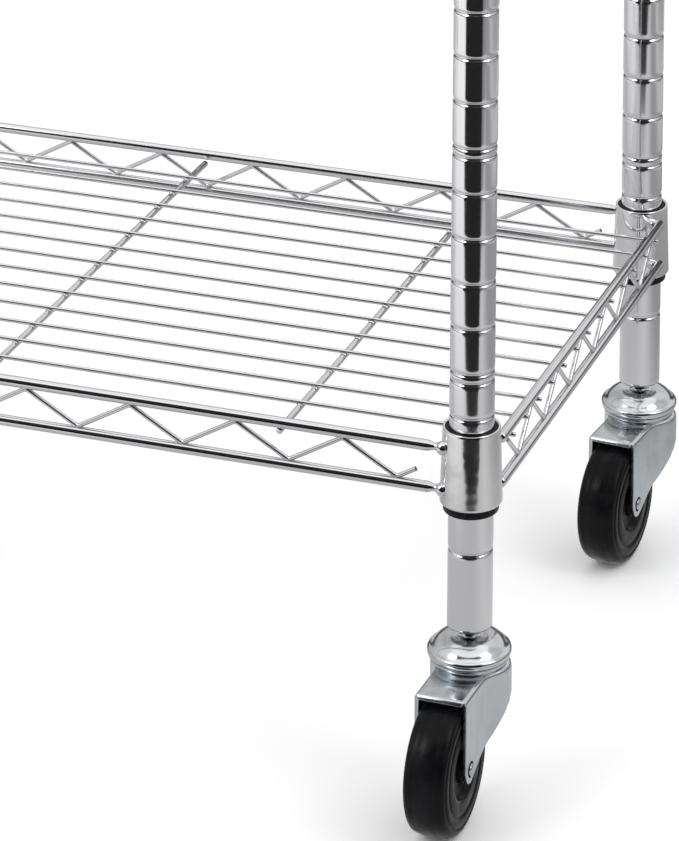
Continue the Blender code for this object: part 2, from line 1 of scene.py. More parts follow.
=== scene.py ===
"""Fine shapes and finishes of a rolling garment rack of chromed steel wire, built around its fixed frame.

Units are metres. +Z is up, +X runs along the rack and -Y is its front. Sizes are written in millimetres
times MM. A finished piece has its place in its mesh, and rides on the body that it belongs to.
"""

import logging
import math
from contextlib import contextmanager
from dataclasses import dataclass
from enum import Enum
from typing import Callable, ClassVar, Iterator, Sequence

import bmesh
import bpy
from mathutils import Matrix, Vector


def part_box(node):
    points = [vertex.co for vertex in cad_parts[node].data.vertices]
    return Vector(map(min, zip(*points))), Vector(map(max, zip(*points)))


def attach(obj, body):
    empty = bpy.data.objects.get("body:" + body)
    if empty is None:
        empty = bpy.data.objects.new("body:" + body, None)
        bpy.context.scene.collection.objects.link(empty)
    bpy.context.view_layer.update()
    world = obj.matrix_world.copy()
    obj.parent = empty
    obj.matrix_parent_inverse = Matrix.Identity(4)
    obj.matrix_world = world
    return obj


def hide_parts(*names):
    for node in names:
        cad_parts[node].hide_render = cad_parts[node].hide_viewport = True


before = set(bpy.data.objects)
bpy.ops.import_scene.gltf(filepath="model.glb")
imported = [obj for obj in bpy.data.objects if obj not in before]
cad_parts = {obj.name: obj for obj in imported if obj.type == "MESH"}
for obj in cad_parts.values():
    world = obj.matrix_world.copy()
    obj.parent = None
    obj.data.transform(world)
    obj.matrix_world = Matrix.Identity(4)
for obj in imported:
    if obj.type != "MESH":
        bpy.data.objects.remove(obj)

MM = 0.001
MERGE = 0.002 * MM
QUARTER = math.pi / 2
log = logging.getLogger("rack")

Place = Sequence[float]
Profile = list[tuple[float, float]]
Stops = Sequence[tuple[float, float]]
Tones = Sequence[tuple[float, Place]]


def in_mm(points: Stops) -> Profile:
    """A profile given in millimetres."""
    return [(radius * MM, height * MM) for radius, height in points]


def mirrored(half: Profile) -> Profile:
    """A profile followed by its mirror image below zero."""
    return [*half, *((radius, -height) for radius, height in reversed(half))]


class Slot(Enum):
    """The record's material slots."""

    TUBE = "chrome_tube"
    WIRE = "chrome_wire"
    ZINC = "zinc"
    RUBBER = "rubber"
    PLASTIC = "black_plastic"


class Corner(Enum):
    """The four corners of the rack, each with its sides along X and Y."""

    FRONT_LEFT = ("front_left", -1, -1)
    FRONT_RIGHT = ("front_right", 1, -1)
    BACK_LEFT = ("back_left", -1, 1)
    BACK_RIGHT = ("back_right", 1, 1)

    @property
    def label(self) -> str:
        """The corner's name in the frame's node names."""
        return self.value[0]

    @property
    def axis(self) -> Vector:
        """The corner's post axis on the floor."""
        low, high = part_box(f"post_{self.label}")
        return Vector(((low.x + high.x) / 2, (low.y + high.y) / 2, 0.0))


class End(Enum):
    """The two ends of the rack, each with its side along X."""

    LEFT = ("left", -1)
    RIGHT = ("right", 1)

    @property
    def label(self) -> str:
        """The end's name in the frame's node names."""
        return self.value[0]

    @property
    def side(self) -> int:
        """-1 at the left end and 1 at the right."""
        return self.value[1]


class Bench:
    """Blender's modelling operators, as a maker uses them by hand."""

    @staticmethod
    def pick(*pieces: bpy.types.Object) -> None:
        """Selects only these objects, the first of them active.

        Args:
            pieces: The objects to select.
        """
        bpy.ops.object.select_all(action="DESELECT")
        for piece in pieces:
            piece.select_set(True)
        bpy.context.view_layer.objects.active = pieces[0]

    @staticmethod
    @contextmanager
    def editing(piece: bpy.types.Object, kind: str = "VERT") -> Iterator[None]:
        """Holds a piece in edit mode, at first with all of it selected.

        Args:
            piece: The piece to edit.
            kind: What is selected: "VERT", "EDGE" or "FACE".

        Yields:
            Nothing; the piece is in edit mode meanwhile.
        """
        Bench.pick(piece)
        bpy.ops.object.mode_set(mode="EDIT")
        bpy.ops.mesh.select_mode(type=kind)
        bpy.ops.mesh.select_all(action="SELECT")
        yield
        bpy.ops.object.mode_set(mode="OBJECT")

    @staticmethod
    def choose_verts(piece: bpy.types.Object, test: Callable[[Vector], bool]) -> None:
        """Selects the points whose place passes a test, in edit mode.

        Args:
            piece: The piece in edit mode.
            test: Says of a place whether it is wanted.
        """
        shape = bmesh.from_edit_mesh(piece.data)
        for face in shape.faces:
            face.select = False
        for vert in shape.verts:
            vert.select = test(vert.co)
        shape.select_flush_mode()
        bmesh.update_edit_mesh(piece.data)

    @staticmethod
    def choose_faces(piece: bpy.types.Object, test: Callable[[Vector, Vector], bool]) -> None:
        """Selects the faces whose middle and normal pass a test, in edit mode.

        Args:
            piece: The piece in edit mode.
            test: Says of a middle and a normal whether the face is wanted.
        """
        shape = bmesh.from_edit_mesh(piece.data)
        shape.normal_update()
        for vert in shape.verts:
            vert.select = False
        for face in shape.faces:
            face.select = test(face.calc_center_median(), face.normal)
        bmesh.update_edit_mesh(piece.data)

    @staticmethod
    def pull(step: Place, scale: Place = (1.0, 1.0, 1.0), centre: Place = (0, 0, 0)) -> None:
        """Extrudes what is selected, then scales the new end about a centre.

        Args:
            step: How far the new end moves.
            scale: How it is scaled along X, Y and Z.
            centre: What it is scaled about.
        """
        bpy.ops.mesh.extrude_region_move(TRANSFORM_OT_translate={"value": step})
        bpy.ops.transform.resize(value=scale, center_override=centre)

    @staticmethod
    def settle(piece: bpy.types.Object, place: Matrix | None = None) -> bpy.types.Object:
        """Moves a piece's place, turn and scale into its mesh.

        Args:
            piece: The piece to settle.
            place: Where it goes first, if it isn't there yet.

        Returns:
            The same piece.
        """
        if place is not None:
            piece.matrix_world = place
        Bench.pick(piece)
        bpy.ops.object.transform_apply(location=True, rotation=True, scale=True)
        return piece

    @staticmethod
    def added(name: str) -> bpy.types.Object:
        """The primitive that was just added, named and settled."""
        bpy.context.active_object.name = name
        return Bench.settle(bpy.context.active_object)

    @staticmethod
    def apply(piece: bpy.types.Object, kind: str, **settings: object) -> None:
        """Adds a modifier with these settings and applies it.

        Args:
            piece: The piece to change.
            kind: The modifier's type.
            settings: The modifier's settings by name.
        """
        modifier = piece.modifiers.new(kind.title(), kind)
        for name, value in settings.items():
            setattr(modifier, name, value)
        Bench.pick(piece)
        bpy.ops.object.modifier_apply(modifier=modifier.name)

    @staticmethod
    def repeat(piece: bpy.types.Object, count: int, step: Place, merge: bool = False) -> None:
        """Repeats a piece in a row.

        Args:
            piece: The piece.
            count: How many of it the row has.
            step: How far apart they are along X, Y and Z.
            merge: Whether each grows together with the next.
        """
        Bench.apply(
            piece, "ARRAY", count=count, use_relative_offset=False, use_constant_offset=True,
            constant_offset_displace=step, use_merge_vertices=merge, merge_threshold=MERGE,
        )

    @staticmethod
    def soften(piece: bpy.types.Object, width: float, segments: int, angle: float) -> None:
        """Bevels a piece's edges that are sharper than an angle in degrees.

        Args:
            piece: The piece.
            width: The bevel's width.
            segments: How many steps it has.
            angle: The bluntest angle that is bevelled.
        """
        limit = {"limit_method": "ANGLE", "angle_limit": math.radians(angle)}
        Bench.apply(piece, "BEVEL", width=width, segments=segments, **limit)

    @staticmethod
    def smooth(piece: bpy.types.Object, angle: float) -> bpy.types.Object:
        """Shades a piece smooth up to an angle in degrees, and returns it."""
        Bench.pick(piece)
        bpy.ops.object.shade_smooth_by_angle(angle=math.radians(angle))
        return piece

    @staticmethod
    def clean(piece: bpy.types.Object) -> None:
        """Merges doubled points and turns every face outwards.

        Args:
            piece: The piece to clean.
        """
        with Bench.editing(piece):
            bpy.ops.mesh.remove_doubles(threshold=MERGE)
            bpy.ops.mesh.normals_make_consistent(inside=False)

    @staticmethod
    def drawn(name: str, places: Sequence[Place]) -> bpy.types.Object:
        """A line drawn by extruding one point.

        Args:
            name: The new object's name.
            places: The line's corners in order.

        Returns:
            The line, an object at the origin.
        """
        bpy.ops.mesh.primitive_plane_add(size=MM, location=(0, 0, 0))
        line = Bench.added(name)
        with Bench.editing(line):
            bpy.ops.mesh.merge(type="CENTER")
            bpy.ops.transform.translate(value=places[0])
            for place, following in zip(places, places[1:]):
                step = {"value": [after - before for before, after in zip(place, following)]}
                bpy.ops.mesh.extrude_vertices_move(TRANSFORM_OT_translate=step)
        return line

    @staticmethod
    def turned(name: str, points: Profile, sides: int, ring: bool = False, slit: float = 0.0) -> bpy.types.Object:
        """A solid spun about the Z axis from a drawn profile.

        Args:
            name: The new object's name.
            points: (radius, height) places of the profile.
            sides: How many steps the spin takes.
            ring: Whether the profile closes on itself, as a tube's does.
            slit: The angle in radians left open, which makes a ring with two end faces.

        Returns:
            The closed solid.
        """
        places = [(radius, 0.0, height) for radius, height in points]
        piece = Bench.drawn(name, places)
        with Bench.editing(piece):
            if slit:
                bpy.ops.mesh.edge_face_add()
            elif ring:
                first, last = Vector(places[0]), Vector(places[-1])
                Bench.choose_verts(piece, lambda at: min((at - first).length, (at - last).length) < MERGE)
                bpy.ops.mesh.edge_face_add()
                bpy.ops.mesh.select_all(action="SELECT")
            bpy.ops.mesh.spin(steps=sides, angle=math.tau - slit, center=(0, 0, 0), axis=(0, 0, 1))
        Bench.clean(piece)
        return piece

    @staticmethod
    def rod(name: str, radius: float, ends: tuple[Place, Place], sides: int, rounding: float) -> bpy.types.Object:
        """A straight round rod with rounded ends.

        Args:
            name: The new object's name.
            radius: The rod's radius.
            ends: The middles of its two ends.
            sides: How many sides it has.
            rounding: How far the ends' rims are rounded.

        Returns:
            The closed rod.
        """
        low, high = Vector(ends[0]), Vector(ends[1])
        run = high - low
        turn = run.to_track_quat("Z", "Y").to_euler()
        bpy.ops.mesh.primitive_cylinder_add(
            vertices=sides, radius=radius, depth=run.length, location=(low + high) / 2, rotation=turn
        )
        piece = Bench.added(name)
        along = run.normalized()
        with Bench.editing(piece, "FACE"):
            Bench.choose_faces(piece, lambda at, normal: abs(normal.dot(along)) > 0.9)
            bpy.ops.mesh.bevel(offset=rounding, segments=2, affect="EDGES")
        return piece

    @staticmethod
    def ball(name: str, place: Place, radii: Place, fineness: int = 2) -> bpy.types.Object:
        """A small rounded bead of weld.

        Args:
            name: The new object's name.
            place: Its middle.
            radii: Its radii along X, Y and Z.
            fineness: How often the icosphere is subdivided.

        Returns:
            The closed bead.
        """
        bpy.ops.mesh.primitive_ico_sphere_add(subdivisions=fineness, radius=1.0, location=place, scale=radii)
        return Bench.added(name)

    @staticmethod
    def joined(name: str, *pieces: bpy.types.Object) -> bpy.types.Object:
        """One object out of several.

        Args:
            name: The name of the result.
            pieces: What it is made of.

        Returns:
            The joined piece.
        """
        Bench.pick(*pieces)
        bpy.ops.object.join()
        pieces[0].name = name
        return pieces[0]

    @staticmethod
    def copied(model: bpy.types.Object, name: str, place: Place, turn: float = 0.0) -> bpy.types.Object:
        """A copy of a model with its own mesh, turned about Z and moved.

        Args:
            model: The piece to copy.
            name: The copy's name.
            place: How far it moves from the origin.
            turn: The turn about Z in radians.

        Returns:
            The copy, with its place in its mesh.
        """
        copy = model.copy()
        copy.data = model.data.copy()
        copy.name = name
        bpy.context.scene.collection.objects.link(copy)
        return Bench.settle(copy, Matrix.Translation(place) @ Matrix.Rotation(turn, 4, "Z"))

    @staticmethod
    def discard(*models: bpy.types.Object) -> None:
        """Removes models that have been copied."""
        for model in models:
            bpy.data.objects.remove(model, do_unlink=True)


class NodeBoard:
    """A node tree, with short calls for adding and joining nodes."""

    def __init__(self, tree: bpy.types.NodeTree) -> None:
        """Holds the tree to add to."""
        self.tree = tree

    def feed(self, target: bpy.types.NodeSocket, value: object) -> None:
        """Links an output to an input, or sets the input to a constant.

        Args:
            target: The input.
            value: An output, a number or a list of numbers.
        """
        if isinstance(value, bpy.types.NodeSocket):
            self.tree.links.new(value, target)
        else:
            target.default_value = value

    def add(self, kind: str, **inputs: object) -> bpy.types.Node:
        """Adds a node and feeds its inputs by name.

        Args:
            kind: The node's type.
            inputs: Input values or outputs, with underscores for spaces in their names.

        Returns:
            The node.
        """
        node = self.tree.nodes.new(kind)
        for name, value in inputs.items():
            self.feed(node.inputs[name.replace("_", " ")], value)
        return node

    def sum(self, kind: str, *values: float | bpy.types.NodeSocket) -> bpy.types.NodeSocket:
        """A math node.

        Args:
            kind: Its operation.
            values: Its inputs, each a number or a socket.

        Returns:
            The result.
        """
        node = self.add("ShaderNodeMath")
        node.operation = kind
        for target, value in zip(node.inputs, values):
            self.feed(target, value)
        return node.outputs["Value"]

    def mix(self, blend: str, factor: object, *colours: bpy.types.NodeSocket) -> bpy.types.NodeSocket:
        """A mix of two colours.

        Args:
            blend: How they are mixed.
            factor: How much of the second is taken, a number or a socket.
            colours: The two colours.

        Returns:
            The mixed colour.
        """
        node = self.add("ShaderNodeMix")
        node.data_type = "RGBA"
        node.blend_type = blend
        for name, value in zip(("Factor", "A", "B"), (factor, *colours)):
            self.feed(node.inputs[name], value)
        return node.outputs["Result"]

    def greys(self, value: bpy.types.NodeSocket, reach: float, stops: Stops) -> bpy.types.NodeSocket:
        """Grey levels along a value.

        Args:
            value: The value.
            reach: The value where the levels end; they start at its opposite.
            stops: (value, level) pairs in order.

        Returns:
            The grey as a colour.
        """
        share = self.add("ShaderNodeMapRange", Value=value, From_Min=-reach, From_Max=reach)
        levels = [((at + reach) / (2 * reach), (level, level, level)) for at, level in stops]
        return self.colours(share.outputs["Result"], levels)

    def colours(self, value: bpy.types.NodeSocket, stops: Tones) -> bpy.types.NodeSocket:
        """Colours along a value from 0 to 1.

        Args:
            value: The value.
            stops: (position, colour) pairs in order.

        Returns:
            The colour.
        """
        node = self.add("ShaderNodeValToRGB", Fac=value)
        ramp = node.color_ramp
        while len(ramp.elements) < len(stops):
            ramp.elements.new(0.5)
        for element, (position, colour) in zip(ramp.elements, stops):
            element.position = position
            element.color = (*colour, 1.0)
        return node.outputs["Color"]


@dataclass(frozen=True)
class Grain:
    """Noise over a piece: its scale per metre, its octaves, and how the place is stretched first."""

    scale: float
    detail: float
    stretch: Place = (1.0, 1.0, 1.0)


class MaterialBoard(NodeBoard):
    """A new material's nodes around its Principled shader."""

    def __init__(self, name: str) -> None:
        """Starts a material with one Principled shader.

        Args:
            name: The material's name.
        """
        self.material = bpy.data.materials.new(name)
        self.material.use_nodes = True
        super().__init__(self.material.node_tree)
        self.shader = self.tree.nodes["Principled BSDF"]
        self.place = self.add("ShaderNodeTexCoord").outputs["Object"]

    def noise(self, grain: Grain) -> bpy.types.NodeSocket:
        """Noise over the piece's own place."""
        place = self.add("ShaderNodeMapping", Vector=self.place, Scale=grain.stretch).outputs["Vector"]
        return self.add("ShaderNodeTexNoise", Vector=place, Scale=grain.scale, Detail=grain.detail).outputs["Fac"]

    def spread(self, value: bpy.types.NodeSocket, low: float, high: float) -> bpy.types.NodeSocket:
        """The middle of a noise's range, from 0.3 to 0.7, mapped to another range."""
        ranges = {"From_Min": 0.3, "From_Max": 0.7, "To_Min": low, "To_Max": high}
        return self.add("ShaderNodeMapRange", Value=value, **ranges).outputs["Result"]

    def bumps(self, *layers: tuple[Grain, float, float]) -> None:
        """Stacks bump layers on the shader's normal.

        Args:
            layers: (grain, strength, distance) of each layer.
        """
        below = {}
        for grain, strength, distance in layers:
            node = self.add(
                "ShaderNodeBump", Height=self.noise(grain), Strength=strength, Distance=distance, **below
            )
            below = {"Normal": node.outputs["Normal"]}
        self.feed(self.shader.inputs["Normal"], below["Normal"])


@dataclass(frozen=True)
class Layers:
    """What a finish lays on the shader: tones, roughness and bumps, each with its own grain."""

    tone: Grain
    tones: Tones
    smear: Grain
    bumps: Sequence[tuple[Grain, float, float]]


@dataclass(frozen=True)
class Finish:
    """What every finish has: a material name, the record's slot that it stands for and shader constants."""

    name: str
    slot: Slot
    metallic: float = 0.0
    specular: float = 0.5
    roughness: tuple[float, float] = (0.2, 0.4)

    def layers(self) -> Layers:
        """The finish's layers; each kind of finish has its own."""
        raise NotImplementedError

    def make(self) -> bpy.types.Material:
        """Builds the material once and finds it again afterwards."""
        return bpy.data.materials.get(self.name) or self.build()

    def build(self) -> bpy.types.Material:
        """Lays out the nodes.

        Returns:
            The new material.
        """
        board, layers = MaterialBoard(self.name), self.layers()
        inputs = board.shader.inputs
        inputs["Metallic"].default_value = self.metallic
        inputs["Specular IOR Level"].default_value = self.specular
        board.feed(inputs["Base Color"], board.colours(board.noise(layers.tone), layers.tones))
        board.feed(inputs["Roughness"], board.spread(board.noise(layers.smear), *self.roughness))
        board.bumps(*layers.bumps)
        return board.material


@dataclass(frozen=True)
class Chrome(Finish):
    """Bright chrome plate with faint haze, drawing marks along the piece and a slow ripple."""

    metallic: float = 1.0
    roughness: tuple[float, float] = (0.035, 0.09)
    # These default tones are the tube chrome's. They are darker than the wire chrome's: painted shade that dims
    # the posts' reflections.
    bright: Place = (0.81, 0.81, 0.82)
    dull: Place = (0.68, 0.68, 0.695)
    draw_along: Place = (1.0, 1.0, 0.03)
    ripple: float = 0.14

    def layers(self) -> Layers:
        """Cloudy tones, smeared polish, a ripple and drawing marks."""
        tones = ((0.32, self.dull), (0.46, self.bright), (1.0, self.bright))
        marks = (Grain(900.0, 2.0, self.draw_along), 0.05, 0.05 * MM)
        bumps = ((Grain(55.0, 2.0), self.ripple, 1.2 * MM), marks)
        return Layers(Grain(38.0, 5.0), tones, Grain(110.0, 6.0, (1.0, 1.0, 0.35)), bumps)


@dataclass(frozen=True)
class Zinc(Finish):
    """Bright zinc plate: bluish, satin and lightly mottled, with stamping marks."""

    metallic: float = 1.0
    roughness: tuple[float, float] = (0.17, 0.25)
    light: Place = (0.62, 0.65, 0.675)
    dark: Place = (0.555, 0.585, 0.61)

    def layers(self) -> Layers:
        """Mottled tones, satin patches, shallow dents and stamping marks."""
        tones = ((0.3, self.dark), (0.52, self.light), (1.0, self.light))
        bumps = ((Grain(70.0, 2.0), 0.10, 0.8 * MM), (Grain(1400.0, 3.0), 0.08, 0.04 * MM))
        return Layers(Grain(90.0, 5.0), tones, Grain(160.0, 4.0), bumps)


@dataclass(frozen=True)
class Rubber(Finish):
    """Moulded black rubber, dull where it has rolled and dusty in patches."""

    specular: float = 0.12
    roughness: tuple[float, float] = (0.20, 0.42)
    black: Place = (0.0022, 0.0022, 0.0028)
    dust: Place = (0.008, 0.008, 0.0095)

    def layers(self) -> Layers:
        """Dusty patches, worn patches, a fine grain and a coarser one."""
        tones = ((0.42, self.black), (0.75, self.dust), (1.0, self.dust))
        bumps = ((Grain(2200.0, 3.0), 0.25, 0.10 * MM), (Grain(220.0, 3.0), 0.10, 0.3 * MM))
        return Layers(Grain(70.0, 7.0), tones, Grain(180.0, 5.0), bumps)


@dataclass(frozen=True)
class Plastic(Finish):
    """Moulded black nylon with a fine grain and slightly scuffed patches."""

    specular: float = 0.12
    roughness: tuple[float, float] = (0.28, 0.48)
    black: Place = (0.004, 0.004, 0.0045)
    scuff: Place = (0.014, 0.014, 0.015)

    def layers(self) -> Layers:
        """Scuffs along the piece, worn patches and a fine grain."""
        tones = ((0.5, self.black), (0.8, self.scuff), (1.0, self.scuff))
        bumps = ((Grain(3000.0, 2.0), 0.18, 0.05 * MM),)
        return Layers(Grain(420.0, 6.0, (1.0, 1.0, 0.4)), tones, Grain(300.0, 4.0), bumps)


# One chrome plating in three tones: the tube and collar chrome are darker, as painted shade on their reflections,
# and the wire chrome is lighter, as painted light.
TUBE_CHROME = Chrome("chrome_tube", Slot.TUBE)
WIRE_CHROME = Chrome(
    "chrome_wire", Slot.WIRE, bright=(0.95, 0.95, 0.955), dull=(0.84, 0.84, 0.85),
    roughness=(0.05, 0.13), draw_along=(0.03, 1.0, 1.0), ripple=0.05,
)
COLLAR_CHROME = Chrome(
    "collar_chrome", Slot.TUBE, bright=(0.80, 0.80, 0.81), dull=(0.60, 0.60, 0.615),
    roughness=(0.07, 0.13), ripple=0.18,
)
ZINC_PLATE = Zinc("zinc_plate", Slot.ZINC)
BRIGHT_ZINC = Zinc(
    "bright_zinc", Slot.ZINC, light=(0.66, 0.665, 0.675), dark=(0.58, 0.585, 0.60), roughness=(0.10, 0.17)
)
BLACK_RUBBER = Rubber("black_rubber", Slot.RUBBER)
BLACK_NYLON = Plastic("black_nylon", Slot.PLASTIC)


def fit(piece: bpy.types.Object, body: str, finish: Finish, *nodes: str) -> None:
    """Dresses a finished piece and puts it in the place of frame nodes.

    Args:
        piece: The piece, with its place in its mesh and perhaps its own materials.
        body: The body that it rides on.
        finish: Its finish.
        nodes: The nodes that it stands for.
    """
    if not piece.data.materials:
        piece.data.materials.append(finish.make())
    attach(piece, body)
    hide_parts(*nodes)
    log.info("%s rides on %s with %d faces", piece.name, body, len(piece.data.polygons))


@dataclass
class Post:
    """A tube post with rolled grooves an inch apart, a double groove at every fifth, a cap and a stem insert.

    The flank is half a groove, as (distance from its middle, depth) in millimetres. The crown is the cap's
    rounding, as (share of the radius, drop in millimetres).
    """

    radius: float = 12.7 * MM
    wall: float = 1.8 * MM
    pitch: float = 25.4 * MM
    first_groove: float = 44.3 * MM
    grooves_per_module: int = 5
    double_drop: float = 5.0 * MM
    rim: float = 0.5 * MM
    sides: int = 40
    flank: Stops = ((4.4, 0.0), (3.2, 0.0), (1.9, 0.03), (1.4, 0.12), (0.95, 0.45), (0.55, 0.76))
    depth: float = 0.86 * MM
    neck_depths: tuple[float, float] = (0.12 * MM, 0.05 * MM)
    neck_share: float = 0.56
    cap_height: float = 3.0 * MM
    crown: Stops = ((0.55, 0.1), (0.82, 0.4), (0.95, 1.0), (1.0, 1.8))
    plug_depth: float = 12 * MM
    gap: float = 0.3 * MM
    insert_length: float = 25 * MM
    insert_bore: float = 5.15 * MM

    def groove(self, level: float, double: bool) -> Profile:
        """The profile of one groove, from below.

        Args:
            level: The height of its deepest line.
            double: Whether a second groove lies just below.

        Returns:
            (radius, height) points.
        """
        half = [(self.radius - deep * MM, off * MM) for off, deep in self.flank]
        up = [(r, level + off) for r, off in reversed(half)]
        floor = self.radius - self.depth
        if not double:
            return [*((r, level - off) for r, off in half), (floor, level), *up]
        lower, neck = level - self.double_drop, self.double_drop / 2
        side, top = self.neck_depths
        rise = [half[-1], half[-2], (self.radius - side, self.neck_share * neck)]
        return [
            *((r, lower - off) for r, off in half),
            (floor, lower),
            *((r, lower + off) for r, off in rise),
            (self.radius - top, lower + neck),
            *((r, level - off) for r, off in reversed(rise)),
            (floor, level),
            *up,
        ]

    def module(self) -> Profile:
        """The profile of five pitches, the last with a double groove."""
        start = self.first_groove - self.pitch / 2
        points = [(self.radius, start)]
        for number in range(self.grooves_per_module):
            double = number == self.grooves_per_module - 1
            points += self.groove(self.first_groove + number * self.pitch, double)
        return [*points, (self.radius, start + self.grooves_per_module * self.pitch)]

    def tube(self, length: float) -> bpy.types.Object:
        """The grooved tube with its lower end at zero.

        Args:
            length: The post's length.

        Returns:
            The closed tube.
        """
        tube = Bench.drawn("post_model", [(radius, 0.0, height) for radius, height in self.module()])
        with Bench.editing(tube):
            bpy.ops.mesh.spin(steps=self.sides, angle=math.tau, center=(0, 0, 0), axis=(0, 0, 1))
        Bench.clean(tube)
        run = self.grooves_per_module * self.pitch
        Bench.repeat(tube, math.ceil(length / run), (0, 0, run), merge=True)
        start = self.first_groove - self.pitch / 2
        bore = (self.radius - self.wall) / (self.radius - self.rim)
        holding = 4 * self.rim
        foot = (
            (holding - start, 1.0), (self.rim - holding, 1.0), (-self.rim, 1 - self.rim / self.radius),
            (0.0, bore), (self.insert_length, 1.0),
        )
        with Bench.editing(tube):
            bpy.ops.mesh.bisect(plane_co=(0, 0, length), plane_no=(0, 0, 1), use_fill=True, clear_outer=True)
            Bench.choose_verts(tube, lambda at: at.z < start + MERGE)
            for rise, scale in foot:
                Bench.pull((0, 0, rise), (scale, scale, 1.0))
            bpy.ops.mesh.edge_face_add()
        Bench.clean(tube)
        return Bench.smooth(tube, 50)

    def cap(self) -> bpy.types.Object:
        """A shallow domed cap with a plug, its seat on the post at zero."""
        top = self.gap + self.cap_height
        plug, foot = self.radius - self.wall - self.gap, -self.plug_depth
        points = [
            (0, top), *((share * self.radius, top - drop * MM) for share, drop in self.crown),
            (self.radius, self.gap), (plug, self.gap), (plug, foot + MM), (plug - MM, foot), (0, foot),
        ]
        return Bench.smooth(Bench.turned("cap_model", points, self.sides), 40)

    def insert(self) -> bpy.types.Object:
        """The threaded plug in the post's lower end, its lower face at zero."""
        outer, bore = self.radius - self.wall - self.gap, self.insert_bore
        top = self.insert_length - self.gap
        points = [
            (outer, top), (outer, 0.4 * MM), (outer - 0.4 * MM, 0), (bore + 0.6 * MM, 0),
            (bore, 0.6 * MM), (bore, top),
        ]
        return Bench.smooth(Bench.turned("insert_model", points, 32, ring=True), 30)

    def build(self) -> None:
        """Builds the four posts with their caps and inserts."""
        low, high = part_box("post_front_right")
        models = self.tube(high.z - low.z), self.cap(), self.insert()
        for corner in Corner:
            label = corner.label
            foot, head = (corner.axis + Vector((0, 0, end.z)) for end in (low, high))
            fit(Bench.copied(models[0], f"{label}_post", foot), "rack", TUBE_CHROME, f"post_{label}")
            fit(Bench.copied(models[1], f"{label}_cap", head), "rack", BLACK_NYLON, f"post_cap_{label}")
            insert = Bench.copied(models[2], f"{label}_insert", foot)
            fit(insert, "rack", ZINC_PLATE, f"stem_insert_{label}")
        Bench.discard(*models)


@dataclass
class Collar:
    """A tapered corner collar and the split sleeve that it wedges on, both with the locking groove at zero."""

    above: float = 17.9 * MM
    below: float = 24.2 * MM
    top_radius: float = 16.3 * MM
    bottom_radius: float = 17.6 * MM
    wall: float = 1.6 * MM
    edge: float = 0.45 * MM
    bore: float = 13.0 * MM
    gap: float = 0.3 * MM
    recess: float = 0.3 * MM
    lip: float = 5.1 * MM
    rib: float = 0.7 * MM
    rib_reach: float = 1.6 * MM
    slit: float = 1.6 * MM
    sides: int = 48

    def radius(self, height: float) -> float:
        """The outer radius at a height above the locking groove."""
        share = (self.above - height) / (self.above + self.below)
        return self.top_radius + share * (self.bottom_radius - self.top_radius)

    def shell(self) -> bpy.types.Object:
        """The collar: a thin cone with rounded rims, and an extra ring near each rim that holds the shading."""
        top, bottom, e = self.above, -self.below, self.edge
        outer, inner = self.radius, lambda height: self.radius(height) - self.wall
        hold, blend = 3 * e, 0.3 * e
        points = [
            (outer(top - hold), top - hold), (outer(top - e), top - e), (outer(top) - blend, top - blend),
            (outer(top) - e, top), (inner(top) + e, top), (inner(top), top - e),
            (inner(bottom), bottom + e), (inner(bottom) + e, bottom), (outer(bottom) - e, bottom),
            (outer(bottom) - blend, bottom + blend), (outer(bottom + e), bottom + e),
            (outer(bottom + hold), bottom + hold),
        ]
        shell = Bench.turned("collar_model", points, self.sides, ring=True)
        shell.data.materials.append(COLLAR_CHROME.make())
        return shell

    def sleeve(self) -> bpy.types.Object:
        """The sleeve: a split cone with a rounded lip under the collar and a rib in the locking groove."""
        top, rim = self.above - self.recess, -self.below
        bottom = rim - self.lip
        outer, bore = self.radius(rim) - self.wall - self.gap, self.bore
        points = [
            (self.radius(top) - self.wall - self.gap, top), (outer, rim), (outer, bottom + 0.8 * MM),
            (outer - 0.3 * MM, bottom + 0.25 * MM), (outer - 0.9 * MM, bottom), (bore, bottom),
            (bore, -self.rib_reach), (bore - self.rib, -self.rib), (bore - self.rib, self.rib),
            (bore, self.rib_reach), (bore, top),
        ]
        piece = Bench.turned("sleeve_model", points, self.sides, slit=self.slit / outer)
        return Bench.smooth(piece, 40)

    def add_sleeves(self, level_name: str, level: float) -> None:
        """Adds the four sleeves of one level.

        Args:
            level_name: The level's name in the frame's node names.
            level: The height of the locking groove.
        """
        model = self.sleeve()
        for corner in Corner:
            turn = math.pi if corner.value[1] > 0 else 0.0
            place = corner.axis + Vector((0, 0, level))
            sleeve = Bench.copied(model, f"{level_name}_{corner.label}_sleeve", place, turn)
            fit(sleeve, "rack", BLACK_NYLON, f"{level_name}_sleeve_{corner.label}")
        Bench.discard(model)


